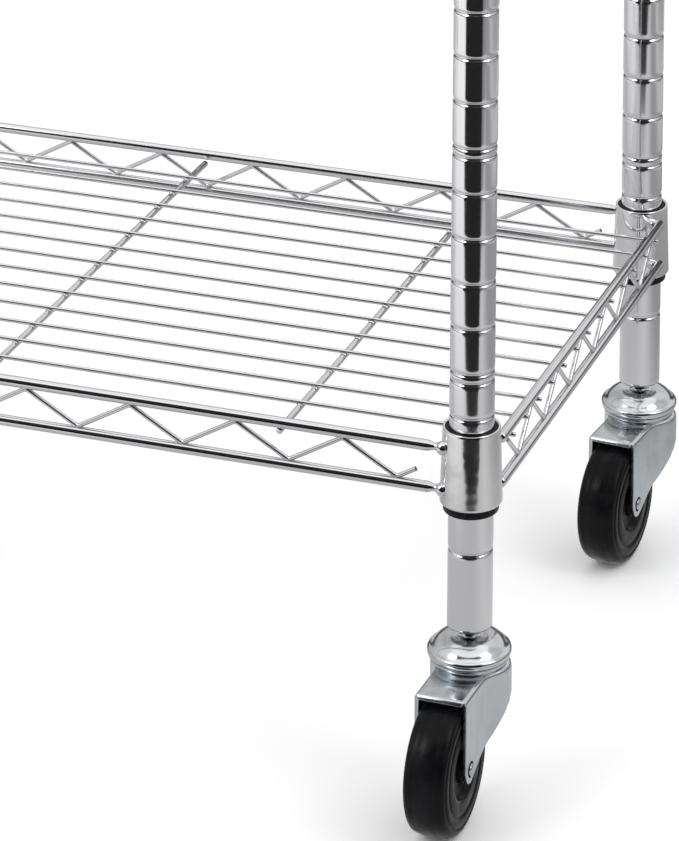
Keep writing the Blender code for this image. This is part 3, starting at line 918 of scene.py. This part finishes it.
@dataclass
class BentWire:
    """A wire bent to and fro between two rails, drawn along X with its heights along Z."""

    pitch: float
    low: float
    high: float
    radius: float = 1.35 * MM
    bend: float = 3.6 * MM
    sides: int = 8
    bend_steps: int = 5

    def slope(self) -> tuple[float, float]:
        """The wire's slope in radians, and half the length of a straight run."""
        across = Vector((self.pitch / 2, self.high - self.low - 2 * self.bend))
        angle = math.atan2(across.y, across.x) + math.asin(2 * self.bend / across.length)
        return angle, math.sqrt(across.length_squared / 4 - self.bend**2)

    def period(self) -> bpy.types.Object:
        """One period of the wire, from the middle of a rise to the middle of the next."""
        angle, run = self.slope()
        middle = (self.low + self.high) / 2
        bpy.ops.mesh.primitive_circle_add(
            vertices=self.sides, radius=self.radius, location=(0, 0, middle), rotation=(0, QUARTER - angle, 0)
        )
        wire = Bench.added("wire")
        rise = Vector((run * math.cos(angle), 0, run * math.sin(angle)))
        fall = Vector((rise.x, 0, -rise.z))
        top = Vector((self.pitch / 4, 0, self.high - self.bend))
        bottom = Vector((3 * self.pitch / 4, 0, self.low + self.bend))
        with Bench.editing(wire):
            for straight, centre, axis in ((rise, top, -1), (fall * 2, bottom, 1)):
                bpy.ops.mesh.extrude_region_move(TRANSFORM_OT_translate={"value": straight})
                bpy.ops.mesh.spin(steps=self.bend_steps, angle=2 * angle, center=centre, axis=(0, axis, 0))
            bpy.ops.mesh.extrude_region_move(TRANSFORM_OT_translate={"value": rise})
        Bench.clean(wire)
        return wire

    def build(self, name: str, first_low: float, ends: tuple[float, float]) -> bpy.types.Object:
        """The whole wire, cut square at both ends, with a weld nub at each bend.

        Args:
            name: The new object's name.
            first_low: The place along X of one low bend, near the higher end.
            ends: The places along X of its two cut ends.

        Returns:
            The wire.
        """
        wire = self.period()
        count = math.ceil((ends[1] - ends[0]) / self.pitch) + 3
        start = first_low + self.pitch * 1.25 - count * self.pitch
        Bench.repeat(wire, count, (self.pitch, 0, 0), merge=True)
        Bench.settle(wire, Matrix.Translation((start, 0, 0)))
        angle = self.slope()[0]
        with Bench.editing(wire):
            for at, outwards in ((ends[1], 1), (ends[0], -1)):
                phase = ((at - start) / self.pitch) % 1.0
                lean = -1 if 0.25 < phase < 0.75 else 1
                normal = (outwards * math.cos(angle), 0, outwards * lean * math.sin(angle))
                plane = {"plane_co": (at, 0, self.height(phase)), "plane_no": normal}
                bpy.ops.mesh.select_all(action="SELECT")
                bpy.ops.mesh.bisect(use_fill=True, clear_outer=True, **plane)
        return Bench.joined(name, wire, *self.nubs(first_low, ends))

    def height(self, phase: float) -> float:
        """The wire's height at a share of its period, which is 0 at the middle of a rise."""
        share = 0.5 + 2 * phase if phase < 0.25 else 1.5 - 2 * phase if phase < 0.75 else 2 * phase - 1.5
        return self.low + share * (self.high - self.low)

    def nubs(self, first_low: float, ends: tuple[float, float]) -> list[bpy.types.Object]:
        """The weld nubs at the bends.

        Args:
            first_low: The place of the first low bend.
            ends: The wire's two ends.

        Returns:
            One row of nubs along the low bends and one along the high bends.
        """
        rows = []
        for first, height, lift in ((first_low, self.low, -1), (first_low - self.pitch / 2, self.high, 1)):
            place = (first, 0, height + lift * 0.5 * self.radius)
            nub = Bench.ball("nub", place, (1.9 * MM, 1.15 * self.radius, 1.0 * MM), 1)
            Bench.repeat(nub, int((first - ends[0] - self.bend) / self.pitch) + 1, (-self.pitch, 0, 0))
            rows.append(nub)
        return rows


@dataclass
class Tier:
    """What sits on the four posts at one level, with the measures it takes from the frame."""

    name: str
    collar: Collar
    end_part: ClassVar[str] = "right_end"

    def __post_init__(self) -> None:
        """Reads the posts' places and the height of the locking groove from the frame."""
        near, far = Corner.FRONT_RIGHT.axis, Corner.BACK_LEFT.axis
        self.half_x = near.x
        self.half_y = (far.y - near.y) / 2
        self.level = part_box(f"{self.name}_{self.end_part}")[0].z + self.collar.below
        self.middle = Vector((0, (far.y + near.y) / 2, self.level))

    def collars(self) -> list[bpy.types.Object]:
        """The two collars of one end."""
        shell = self.collar.shell()
        pair = [Bench.copied(shell, "collar", (0, side * self.half_y, 0)) for side in (-1, 1)]
        Bench.discard(shell)
        return pair


@dataclass
class Shelf(Tier):
    """A wire shelf: trusses in front and behind, an end frame with two collars at each end, and a deck."""

    rail_radius: float = 3.0 * MM
    rail_sides: int = 14
    deck_radius: float = 1.2 * MM
    support_radius: float = 2.0 * MM
    side_offset: float = 9.6 * MM
    end_offset: float = 14.5 * MM
    upper_rail: float = 7.25 * MM
    end_upper_rail: float = 9.25 * MM
    lower_rail: float = -16.2 * MM
    bend_drop: float = 0.55 * MM
    side_pitch: float = 64.3 * MM
    side_start: float = 40.5 * MM
    side_cut: float = 29.3 * MM
    end_pitch: float = 48.4 * MM
    end_start: float = 40.0 * MM
    end_cut: float = 19.5 * MM
    wire_count: int = 13
    wire_margin: float = 33.6 * MM
    support_count: int = 6
    support_inset: float = 111 * MM
    pinch_start: float = 22.4 * MM
    pinch: Stops = ((1.6, 0.9), (1.8, 0.78), (1.4, 1.0), (1.6, 1.2))

    def rail(self, half: float, height: float) -> bpy.types.Object:
        """A rail along X whose ends are pinched and welded to the collars with a ball of weld.

        Args:
            half: Half the distance between the post axes.
            height: The rail's height.

        Returns:
            The rail.
        """
        reach = half - self.pinch_start
        ends = ((-reach, 0, height), (reach, 0, height))
        rail = Bench.rod("rail", self.rail_radius, ends, self.rail_sides, 0.2 * MM)
        for side in (-1, 1):
            with Bench.editing(rail, "FACE"):
                Bench.choose_faces(rail, lambda at, normal: normal.x * side > 0.9 and at.x * side > 0)
                for step, squash in self.pinch:
                    Bench.pull((side * step * MM, 0, 0), (1.0, squash, squash), (0, 0, height))
        beads = []
        for side in (-1, 1):
            place = (side * (half - 13.4 * MM), -0.8 * MM, height)
            beads.append(Bench.ball("bead", place, (3.9 * MM, 3.7 * MM, 3.9 * MM), 3))
        return Bench.joined("rail", rail, *beads)

    def side_truss(self) -> bpy.types.Object:
        """A truss along X in the plane of zero, with the locking groove at zero height."""
        drop = self.rail_radius + self.bend_drop
        wire = BentWire(self.side_pitch, self.lower_rail + drop, self.upper_rail - drop)
        ends = (self.side_cut - self.half_x, self.half_x - self.side_cut)
        bends = wire.build("bends", self.half_x - self.side_start, ends)
        rails = [self.rail(self.half_x, height) for height in (self.upper_rail, self.lower_rail)]
        return Bench.smooth(Bench.joined("truss_model", bends, *rails), 50)

    def end_truss(self) -> bpy.types.Object:
        """The truss of a right end along Y, with its front end towards -Y."""
        drop = self.rail_radius + self.bend_drop
        wire = BentWire(self.end_pitch, self.lower_rail + drop, self.end_upper_rail - drop)
        ends = (self.end_cut - self.half_y, self.half_y - self.end_cut)
        parts = [wire.build("end_bends", self.half_y - self.end_start, ends)]
        reach, bead_place = self.half_y - 7.2 * MM, self.half_y - 8.6 * MM
        for height in (self.end_upper_rail, self.lower_rail):
            rail_ends = ((-reach, 0, height), (reach, 0, height))
            parts.append(Bench.rod("end_rail", self.rail_radius, rail_ends, self.rail_sides, 1.2 * MM))
            for side in (-1, 1):
                place = (side * bead_place, -1.2 * MM, height)
                parts.append(Bench.ball("bead", place, (2.2 * MM, 2.0 * MM, 3.3 * MM)))
        truss = Bench.joined("end_model", *parts)
        place = Matrix.Translation((self.end_offset, 0, 0)) @ Matrix.Rotation(-QUARTER, 4, "Z")
        return Bench.settle(truss, place)

    def end_frame(self) -> bpy.types.Object:
        """The right end: its truss and two collars."""
        collars, truss = self.collars(), self.end_truss()
        truss.data.materials.append(WIRE_CHROME.make())
        return Bench.smooth(Bench.joined("end_model", truss, *collars), 50)

    def deck(self) -> bpy.types.Object:
        """The deck wires on their cross supports, with a pressed weld at each crossing."""
        support_level = self.upper_rail - self.rail_radius - self.support_radius - 0.3 * MM
        level = support_level + self.support_radius + self.deck_radius - 0.4 * MM
        reach = self.half_x + self.end_offset + self.rail_radius + 0.5 * MM
        first = self.half_y + self.side_offset - self.wire_margin
        inner = self.half_x - self.support_inset
        across = self.wire_count, (0, 2 * first / (self.wire_count - 1), 0)
        along = self.support_count, (2 * inner / (self.support_count - 1), 0, 0)
        ends = ((-reach, -first, level), (reach, -first, level))
        wires = Bench.rod("wires", self.deck_radius, ends, 10, 0.35 * MM)
        Bench.repeat(wires, *across)
        hold = self.half_y + self.side_offset - 0.9 * MM
        ends = ((-inner, -hold, support_level), (-inner, hold, support_level))
        bars = Bench.rod("bars", self.support_radius, ends, 12, 0.5 * MM)
        Bench.repeat(bars, *along)
        weld = (-inner, -first, level - 0.9 * self.deck_radius)
        welds = Bench.ball("welds", weld, (2.5 * MM, 2.1 * MM, 1.1 * MM), 1)
        Bench.repeat(welds, *across)
        Bench.repeat(welds, *along)
        return Bench.smooth(Bench.joined("deck_model", wires, bars, welds), 50)

    def build(self) -> None:
        """Builds the shelf's pieces and its sleeves."""
        truss, end, deck = self.side_truss(), self.end_frame(), self.deck()
        for label, side in (("front", -1), ("back", 1)):
            piece = self.placed_truss(truss, label, side)
            fit(piece, "rack", WIRE_CHROME, f"{self.name}_{label}_truss")
        for where in End:
            turn = 0.0 if where is End.RIGHT else math.pi
            place = self.middle + Vector((where.side * self.half_x, 0, 0))
            piece = Bench.copied(end, f"{self.name}_{where.label}_frame", place, turn)
            fit(piece, "rack", TUBE_CHROME, f"{self.name}_{where.label}_end")
        piece = Bench.copied(deck, f"{self.name}_mat", self.middle)
        fit(piece, "rack", WIRE_CHROME, f"{self.name}_deck")
        Bench.discard(truss, end, deck)
        self.collar.add_sleeves(self.name, self.level)

    def placed_truss(self, model: bpy.types.Object, label: str, side: int) -> bpy.types.Object:
        """A copy of the side truss, with its beads towards the posts.

        Args:
            model: The truss for the front.
            label: "front" or "back".
            side: -1 in front and 1 behind.

        Returns:
            The copy.
        """
        piece = Bench.copied(model, f"{self.name}_{label}_rails", (0, 0, 0))
        if side > 0:
            with Bench.editing(piece):
                bpy.ops.transform.resize(value=(1, -1, 1), center_override=(0, 0, 0))
                bpy.ops.mesh.normals_make_consistent(inside=False)
        place = self.middle + Vector((0, side * (self.half_y + self.side_offset), 0))
        return Bench.settle(piece, Matrix.Translation(place))


@dataclass
class Hanger(Tier):
    """The hanging rod, the two bars that carry it and the cups that hook it on them."""

    end_part: ClassVar[str] = "bar_right"
    rod_radius: float = 12.7 * MM
    rod_wall: float = 1.5 * MM
    bar_radius: float = 5.0 * MM
    cup_wall: float = 2.0 * MM
    cup_floor: float = 3.0 * MM
    cup_depth: float = 20 * MM
    hook_wall: float = 2.5 * MM
    hook_width: float = 22 * MM
    hook_back: float = 1.5 * MM
    hook_tip: float = 2.5 * MM
    gap: float = 0.3 * MM

    def bar(self, drop: float) -> bpy.types.Object:
        """A bar along Y between two collars, with a fillet of weld at each.

        Args:
            drop: The bar's height above the locking groove, which is negative.

        Returns:
            The bar with its collars.
        """
        reach = self.half_y - self.collar.radius(drop) + 1.0 * MM
        parts = [Bench.rod("bar", self.bar_radius, ((0, -reach, drop), (0, reach, drop)), 20, 0.3 * MM)]
        for side in (-1, 1):
            place = (0, side * (reach - 1.3 * MM), drop)
            parts.append(Bench.ball("bead", place, (6.2 * MM, 2.0 * MM, 6.2 * MM)))
        for part in parts:
            part.data.materials.append(TUBE_CHROME.make())
        return Bench.smooth(Bench.joined("bar_model", *parts, *self.collars()), 50)

    def rod(self, half: float) -> bpy.types.Object:
        """The tube that clothes hang on, along X.

        Args:
            half: Half its length.

        Returns:
            The closed tube.
        """
        r, bore, e = self.rod_radius, self.rod_radius - self.rod_wall, 0.4 * MM
        points = [(r, half - e), (r - e, half), (bore, half), (bore, -half), (r - e, -half), (r, e - half)]
        tube = Bench.turned("rod", points, 40, ring=True)
        return Bench.smooth(Bench.settle(tube, Matrix.Rotation(QUARTER, 4, "Y")), 40)

    def cup(self) -> bpy.types.Object:
        """A cup that opens along +X, with a hook over the bar at the origin."""
        start, bore = self.bar_radius + self.gap, self.rod_radius + self.gap
        outer, floor = bore + self.cup_wall, start + self.cup_floor
        end, chamfer, corner = floor + self.cup_depth, 0.8 * MM, 2.5 * MM
        points = [
            (0, floor), (bore, floor), (bore, end - 0.3 * MM), (bore + 0.4 * MM, end),
            (outer - chamfer, end), (outer, end - chamfer), (outer, start + corner),
            (outer - chamfer, start + chamfer), (outer - corner, start), (0, start),
        ]
        cup = Bench.settle(Bench.turned("cup", points, 40), Matrix.Rotation(QUARTER, 4, "Y"))
        return Bench.smooth(Bench.joined("cup_model", cup, self.hook()), 40)

    def hook(self) -> bpy.types.Object:
        """The hook: a strap bent over the bar and down behind it."""
        middle = self.bar_radius + self.gap + self.hook_wall / 2
        bpy.ops.mesh.primitive_plane_add(size=1.0, location=(middle, 0, -self.hook_back))
        bpy.context.active_object.scale = (self.hook_wall, self.hook_width, 1.0)
        strap = Bench.added("strap")
        with Bench.editing(strap, "FACE"):
            bpy.ops.mesh.extrude_region_move(TRANSFORM_OT_translate={"value": (0, 0, self.hook_back)})
            bpy.ops.mesh.spin(steps=12, angle=math.pi, center=(0, 0, 0), axis=(0, 1, 0))
            bpy.ops.mesh.extrude_region_move(TRANSFORM_OT_translate={"value": (0, 0, -self.hook_tip)})
        Bench.clean(strap)
        Bench.soften(strap, 0.5 * MM, 2, 60)
        return strap

    def build(self) -> None:
        """Builds the bars, the cups, the rod and the sleeves."""
        drop = (self.collar.above - self.collar.below) / 2
        bar, cup = self.bar(drop), self.cup()
        for where in End:
            place = self.middle + Vector((where.side * self.half_x, 0, 0))
            piece = Bench.copied(bar, f"{where.label}_end_bar", place)
            fit(piece, "rack", TUBE_CHROME, f"hanger_bar_{where.label}")
            turn = math.pi if where is End.RIGHT else 0.0
            piece = Bench.copied(cup, f"{where.label}_rod_cup", place + Vector((0, 0, drop)), turn)
            fit(piece, "rack", TUBE_CHROME, f"rod_bracket_{where.label}")
        low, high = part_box("hanging_rod")
        rod = self.rod((high.x - low.x) / 2)
        piece = Bench.copied(rod, "clothes_rod", self.middle + Vector((0, 0, drop)))
        fit(piece, "rack", TUBE_CHROME, "hanging_rod")
        Bench.discard(bar, cup, rod)
        self.collar.add_sleeves(self.name, self.level)


@dataclass
class Caster:
    """A swivel caster: domed top on a stem, stamped fork, riveted axle and rubber wheel, trailing towards -Y.

    The profiles are (radius, height) in millimetres, the heights of the rivet's and the wheel's being from
    the middle. The outline is one half of the fork's plan: (half width, distance ahead, height of the edge).
    """

    trail: float = 38 * MM
    axle_height: float = 36.5 * MM
    crown_top: float = 78 * MM
    sheet: float = 2.2 * MM
    skirt_rows: int = 5
    axle_bore: float = 4.4 * MM
    drill_reach: float = 30 * MM
    lip: tuple[tuple[float, float], ...] = ((-1.0, -0.5), (-0.4, -1.2))
    top_profile: Stops = (
        (0, 120), (4.05, 120), (4.85, 119.2), (4.85, 93.6), (5.35, 92.7), (6.6, 92.0), (8.0, 92.1),
        (9.6, 92.8), (11.6, 93.0), (14.0, 92.6), (16.6, 91.5), (18.8, 90.0), (20.4, 88.4), (21.3, 87.1),
        (22.2, 86.5), (23.2, 86.0), (23.7, 85.1), (23.7, 83.6), (23.3, 82.5), (22.6, 82.0), (21.5, 82.0),
        (21.5, 85.2), (16.6, 88.6), (6.0, 88.6), (6.0, 75.2), (8.0, 75.2), (8.5, 74.8), (8.2, 73.6),
        (6.8, 73.2), (0, 73.2),
    )
    race_profile: Stops = (
        (19.5, 84.2), (19.5, 81.7), (21.6, 81.6), (22.3, 81.1), (22.4, 80.3), (21.9, 79.4), (21.0, 78.9),
        (20.6, 78.3), (20.9, 77.6), (15.8, 77.6), (15.8, 84.2),
    )
    rivet_profile: Stops = ((0, 17.0), (1.6, 16.85), (2.6, 16.4), (3.2, 15.7), (3.2, 13.0))
    wheel_profile: Stops = (
        (3.5, 12.8), (6.9, 12.8), (7.5, 12.3), (7.9, 9.4), (8.6, 8.9), (14.6, 8.9), (15.6, 9.6), (16.2, 11.5),
        (17.0, 12.1), (18.6, 12.3), (23.6, 12.3), (24.3, 12.0), (24.8, 11.5), (25.6, 11.5), (26.1, 12.1),
        (27.0, 12.4), (29.8, 12.4), (30.4, 12.1), (30.9, 11.6), (31.5, 11.6), (32.0, 12.1), (32.9, 12.0),
        (34.2, 11.3), (35.2, 10.2), (35.9, 8.5), (36.3, 6.2), (36.3, 5.5), (36.5, 5.2), (36.5, 0.4),
    )
    outline: tuple[tuple[float, float, float], ...] = (
        (15.3, 45.2, 36.5), (15.3, 44.7, 33.6), (15.3, 43.2, 31.2), (15.3, 41.0, 29.7), (15.3, 38.0, 29.2),
        (15.3, 35.0, 30.0), (15.3, 32.2, 31.3), (15.3, 29.5, 32.6), (15.3, 25.5, 34.4), (15.3, 21.0, 36.4),
        (15.4, 16.5, 38.2), (16.1, 12.8, 40.0), (18.0, 9.2, 43.0), (20.4, 5.8, 47.5), (22.4, 2.0, 52.5),
        (23.4, -2.0, 57.5), (22.9, -6.4, 61.0), (20.9, -10.9, 63.5), (17.3, -15.1, 65.3), (12.1, -18.9, 66.6),
        (6.1, -21.7, 67.2), (0.0, -22.5, 67.4),
    )

    def top(self) -> bpy.types.Object:
        """Stem, bell and kingpin."""
        return Bench.smooth(Bench.turned("top_model", in_mm(self.top_profile), 48), 40)

    def body(self) -> bpy.types.Object:
        """The fork's stamped sheet: a crown with two legs, a skirt behind and a lip in front."""
        rows = [(x * MM, -ahead * MM, low * MM) for x, ahead, low in self.outline]
        top, half_sheet = self.crown_top - self.sheet / 2, self.sheet / 2
        fork = Bench.drawn("fork", [(max(x - half_sheet, 0.0), y, top) for x, y, _ in rows])
        row_height = 2 * MM
        with Bench.editing(fork):
            for _ in range(self.skirt_rows):
                bpy.ops.mesh.extrude_region_move(TRANSFORM_OT_translate={"value": (0, 0, -row_height)})
            for _, y, low in rows:
                scale = (top - low) / (self.skirt_rows * row_height)
                Bench.choose_verts(fork, lambda at: abs(at.y - y) < 0.1 * MM)
                bpy.ops.transform.resize(value=(1, 1, scale), center_override=(0, y, top))
        Bench.apply(fork, "MIRROR", use_axis=(True, False, False), use_clip=True, merge_threshold=0.05 * MM)
        front = rows[0][1]
        with Bench.editing(fork):
            Bench.choose_verts(fork, lambda at: abs(at.z - top) < MERGE)
            bpy.ops.mesh.edge_face_add()
            Bench.choose_verts(fork, lambda at: abs(at.z - top) < MERGE and abs(at.y - front) < MERGE)
            bpy.ops.mesh.select_mode(type="EDGE")
            for ahead, rise in self.lip:
                Bench.pull((0, ahead * MM, rise * MM), (0.93, 1, 1), (0, front, top))
        Bench.clean(fork)
        Bench.soften(fork, 2.4 * MM, 4, 60)
        Bench.apply(fork, "SOLIDIFY", thickness=self.sheet, offset=0.0, use_even_offset=True)
        Bench.soften(fork, 0.6 * MM, 2, 55)
        return fork

    def fork(self) -> bpy.types.Object:
        """The whole fork with its rivet holes and the lower race ring under the bell."""
        body, reach = self.body(), self.drill_reach
        ends = ((-reach, -self.trail, self.axle_height), (reach, -self.trail, self.axle_height))
        drill = Bench.rod("drill", self.axle_bore, ends, 24, 0.1 * MM)
        Bench.apply(body, "BOOLEAN", operation="DIFFERENCE", solver="EXACT", object=drill)
        Bench.discard(drill)
        race = Bench.turned("race", in_mm(self.race_profile), 48, ring=True)
        return Bench.smooth(Bench.joined("fork_model", body, race), 40)

    def axle(self) -> bpy.types.Object:
        """The rivet through both legs, with low domed heads inside the holes."""
        return self.laid(Bench.turned("axle_model", mirrored(in_mm(self.rivet_profile)), 28))

    def wheel(self) -> bpy.types.Object:
        """The solid rubber wheel with moulded ridges and a recessed hub."""
        return self.laid(Bench.turned("wheel_model", mirrored(in_mm(self.wheel_profile)), 72, ring=True))

    def laid(self, piece: bpy.types.Object) -> bpy.types.Object:
        """Lays a piece turned about Z along X, on the wheel's axis."""
        place = Matrix.Translation((0, -self.trail, self.axle_height)) @ Matrix.Rotation(QUARTER, 4, "Y")
        return Bench.smooth(Bench.settle(piece, place), 40)

    def build(self) -> None:
        """Builds the four casters at the posts, each turned as its wheel stands."""
        top, fork, axle, wheel = self.top(), self.fork(), self.axle(), self.wheel()
        for corner in Corner:
            label, place = corner.label, corner.axis
            low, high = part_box(f"caster_wheel_{label}")
            trail = (low + high) / 2 - place
            turn = math.atan2(trail.x, -trail.y)
            parts = (
                (top, "caster_top", "rack", BRIGHT_ZINC), (fork, "fork", f"fork_{label}", ZINC_PLATE),
                (axle, "axle", f"fork_{label}", ZINC_PLATE), (wheel, "wheel", f"wheel_{label}", BLACK_RUBBER),
            )
            for model, part, body, finish in parts:
                piece = Bench.copied(model, f"{label}_{part}", place, turn)
                fit(piece, body, finish, f"caster_{part.removeprefix('caster_')}_{label}")
        Bench.discard(top, fork, axle, wheel)


@dataclass
class Studio:
    """A pale floor, a soft bright room with a dark side behind the camera, soft lights, and the camera.

    The right, up and ahead directions are a sheared view's columns. The sheet's edge is (x, y) places, and
    its glow (distance along the slope, level). Walls, horizon, ends and where are (degrees, level).
    """

    eye: Place = (1.3191, -2.3833, 1.2708)
    right: Place = (0.95282, 0.30331, 0.01182)
    up: Place = (-0.02681, 0.04532, 0.99861)
    ahead: Place = (-0.3127, 0.8573, -0.4089)
    lens: float = 199.4
    sensor: float = 36.0
    facing: float = 20.0
    floor_radius: float = 9.0
    glow_slope: Place = (-0.7, -0.7, 0.0)
    glow_reach: float = 2.0
    lamp_target: Place = (0.3, 0.0, 0.5)
    sheet_edge: Stops = (
        (0.662, -0.567), (0.80, -0.53), (0.93, -0.49), (1.0, -0.50), (1.06, -0.54), (1.1, -0.567),
        (3.0, -0.567), (3.0, 3.0), (-3.0, 3.0), (-3.0, -2.526),
    )
    # The glow levels are painted light and painted shade of the floor, as the chrome reflects it.
    glow: Stops = (
        (-2.0, 0.38), (-1.5, 0.40), (-1.27, 0.62), (-1.1, 0.36), (-0.85, 0.34), (-0.62, 0.58), (-0.5, 0.66),
        (-0.38, 0.60), (-0.25, 0.54), (0.0, 0.55), (0.1, 0.68), (0.27, 0.88), (0.42, 0.95), (0.8, 1.08),
        (2.0, 1.1),
    )
    walls: Stops = (
        (-180, 0.75), (-160, 0.6), (-139, 0.6), (-120, 0.75), (-104, 0.85), (-80, 1.0), (-56, 1.0),
        (-54.5, 0.018), (30, 0.018), (34, 0.27), (52, 0.33), (58, 0.5), (72, 0.8), (90, 0.7), (110, 0.6),
        (125, 0.85), (150, 0.85), (165, 0.75), (180, 0.75),
    )
    horizon: Stops = ((-90, 1.0), (-6, 1.0), (-3, 0.10), (9, 0.10), (14, 1.0), (90, 1.0))
    ends: Stops = ((-90, 0.6), (0, 0.7), (45, 0.95), (60, 1.25), (90, 1.05))
    where: Stops = ((-90, 1.0), (53, 1.0), (58, 0.0), (90, 0.0))

    def camera(self) -> None:
        """Adds the camera, on a stand that carries the sheared view."""
        bpy.ops.object.camera_add(location=(0, 0, 0))
        camera = bpy.context.active_object
        camera.name = "camera"
        camera.data.lens = self.lens
        camera.data.sensor_width = self.sensor
        camera.data.clip_start = 0.05
        camera.data.clip_end = 50.0
        columns = [Vector(self.right), Vector(self.up), -Vector(self.ahead).normalized()]
        rows = [[*(column[row] for column in columns), self.eye[row]] for row in range(3)]
        bpy.ops.object.empty_add(location=(0, 0, 0))
        stand = bpy.context.active_object
        stand.name = "camera_stand"
        camera.parent = stand
        camera.matrix_parent_inverse = Matrix([*rows, [0, 0, 0, 1]])
        bpy.context.scene.camera = camera

    def floor(self) -> None:
        """Adds the floor: a broad pale disc that the chrome doesn't reflect."""
        bpy.ops.mesh.primitive_circle_add(
            vertices=96, radius=self.floor_radius, fill_type="NGON", location=(0, 0, 0)
        )
        floor = Bench.added("studio_floor")
        floor.visible_glossy = False
        board = MaterialBoard("studio_floor")
        tones = [(0.0, (0.95, 0.95, 0.95)), (1.0, (0.97, 0.97, 0.97))]
        board.feed(board.shader.inputs["Base Color"], board.colours(board.noise(Grain(1.5, 2.0)), tones))
        board.shader.inputs["Roughness"].default_value = 0.9
        floor.data.materials.append(board.material)

    def sheet(self) -> None:
        """Adds a sheet that only shines in the chrome, in the floor's place, with painted light and painted shade
        of the floor.
        """
        sheet = Bench.drawn("studio_sheet", [(x, 0.0, y) for x, y in self.sheet_edge])
        with Bench.editing(sheet):
            bpy.ops.mesh.edge_face_add()
        Bench.settle(sheet, Matrix.Rotation(-QUARTER, 4, "X"))
        for kind in ("camera", "diffuse", "transmission", "shadow"):
            setattr(sheet, f"visible_{kind}", False)
        sheet.data.materials.append(self.painted_floor_light())

    def painted_floor_light(self) -> bpy.types.Material:
        """The sheet's glow: painted light of the floor, brighter towards the front left, and painted shade,
        darker under the rack and towards the back right.

        Returns:
            The material.
        """
        board = MaterialBoard("studio_painted_floor_light")
        slope = board.add("ShaderNodeVectorMath")
        slope.operation = "DOT_PRODUCT"
        for target, value in zip(slope.inputs, (board.place, self.glow_slope)):
            board.feed(target, value)
        # Painted light and painted shade of the floor: a grey glow along the slope.
        grey = board.greys(slope.outputs["Value"], self.glow_reach, self.glow)
        glow = board.add("ShaderNodeEmission", Color=grey)
        board.tree.nodes.remove(board.shader)
        board.feed(board.tree.nodes["Material Output"].inputs["Surface"], glow.outputs[0])
        board.material.cycles.emission_sampling = "NONE"
        return board.material

    def lamp(self, name: str, place: Place, size: tuple[float, float], power: float) -> None:
        """Adds a soft area lamp aimed at the rack.

        Args:
            name: The lamp's name.
            place: Where it hangs.
            size: Its width and height.
            power: Its power in watts.
        """
        bpy.ops.object.light_add(type="AREA", location=place)
        lamp = bpy.context.active_object
        lamp.name = name
        lamp.data.shape = "RECTANGLE"
        lamp.data.size, lamp.data.size_y = size
        lamp.data.energy = power
        aim = Vector(self.lamp_target) - Vector(place)
        lamp.rotation_euler = aim.to_track_quat("-Z", "Y").to_euler()

    def room(self) -> None:
        """Makes the world: plain white, but in the chrome a room with a dark side behind the camera."""
        world = bpy.data.worlds.new("studio")
        bpy.context.scene.world = world
        world.use_nodes = True
        board = NodeBoard(world.node_tree)
        board.tree.nodes.clear()
        towards = board.add("ShaderNodeTexCoord").outputs["Generated"]
        x, y, z = board.add("ShaderNodeSeparateXYZ", Vector=towards).outputs
        azimuth = board.sum("ARCTAN2", x, board.sum("MULTIPLY", y, -1.0))
        turned = board.sum("SUBTRACT", azimuth, math.radians(self.facing))
        wrapped = board.sum("WRAP", turned, math.pi, -math.pi)
        walls = board.greys(board.sum("DEGREES", wrapped), 180.0, self.walls)
        rise = board.sum("DEGREES", board.sum("ARCSINE", z))
        stops = (self.ends, self.where, self.horizon)
        ends, where, horizon = (board.greys(rise, 90.0, levels) for levels in stops)
        sides = board.mix("MULTIPLY", 1.0, walls, horizon)
        room = board.add("ShaderNodeBackground", Color=board.mix("MIX", where, ends, sides))
        plain = board.add("ShaderNodeBackground", Color=(1.0, 1.0, 1.0, 1.0))
        choice = board.add("ShaderNodeMixShader")
        glossy = board.add("ShaderNodeLightPath").outputs["Is Glossy Ray"]
        for target, value in zip(choice.inputs, (glossy, plain.outputs[0], room.outputs[0])):
            board.feed(target, value)
        board.add("ShaderNodeOutputWorld", Surface=choice.outputs[0])

    def build(self) -> None:
        """Sets up the floor, the sheet, the room, the lamps and the camera."""
        bpy.context.scene.view_settings.view_transform = "Standard"
        self.floor()
        self.sheet()
        self.room()
        self.lamp("key_lamp", (-1.8, -2.6, 3.2), (1.6, 1.6), 30.0)
        self.lamp("fill_lamp", (2.8, -0.4, 2.4), (1.2, 1.8), 18.0)
        self.camera()


def main() -> None:
    """Builds every piece around the frame, then the studio."""
    logging.basicConfig(level=logging.INFO, format="%(message)s")
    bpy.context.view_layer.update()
    collar = Collar()
    Post().build()
    for name in ("lower_shelf", "upper_shelf"):
        Shelf(name, collar).build()
    Hanger("hanger", collar).build()
    Caster().build()
    Studio().build()


if __name__ == "__main__":
    main()
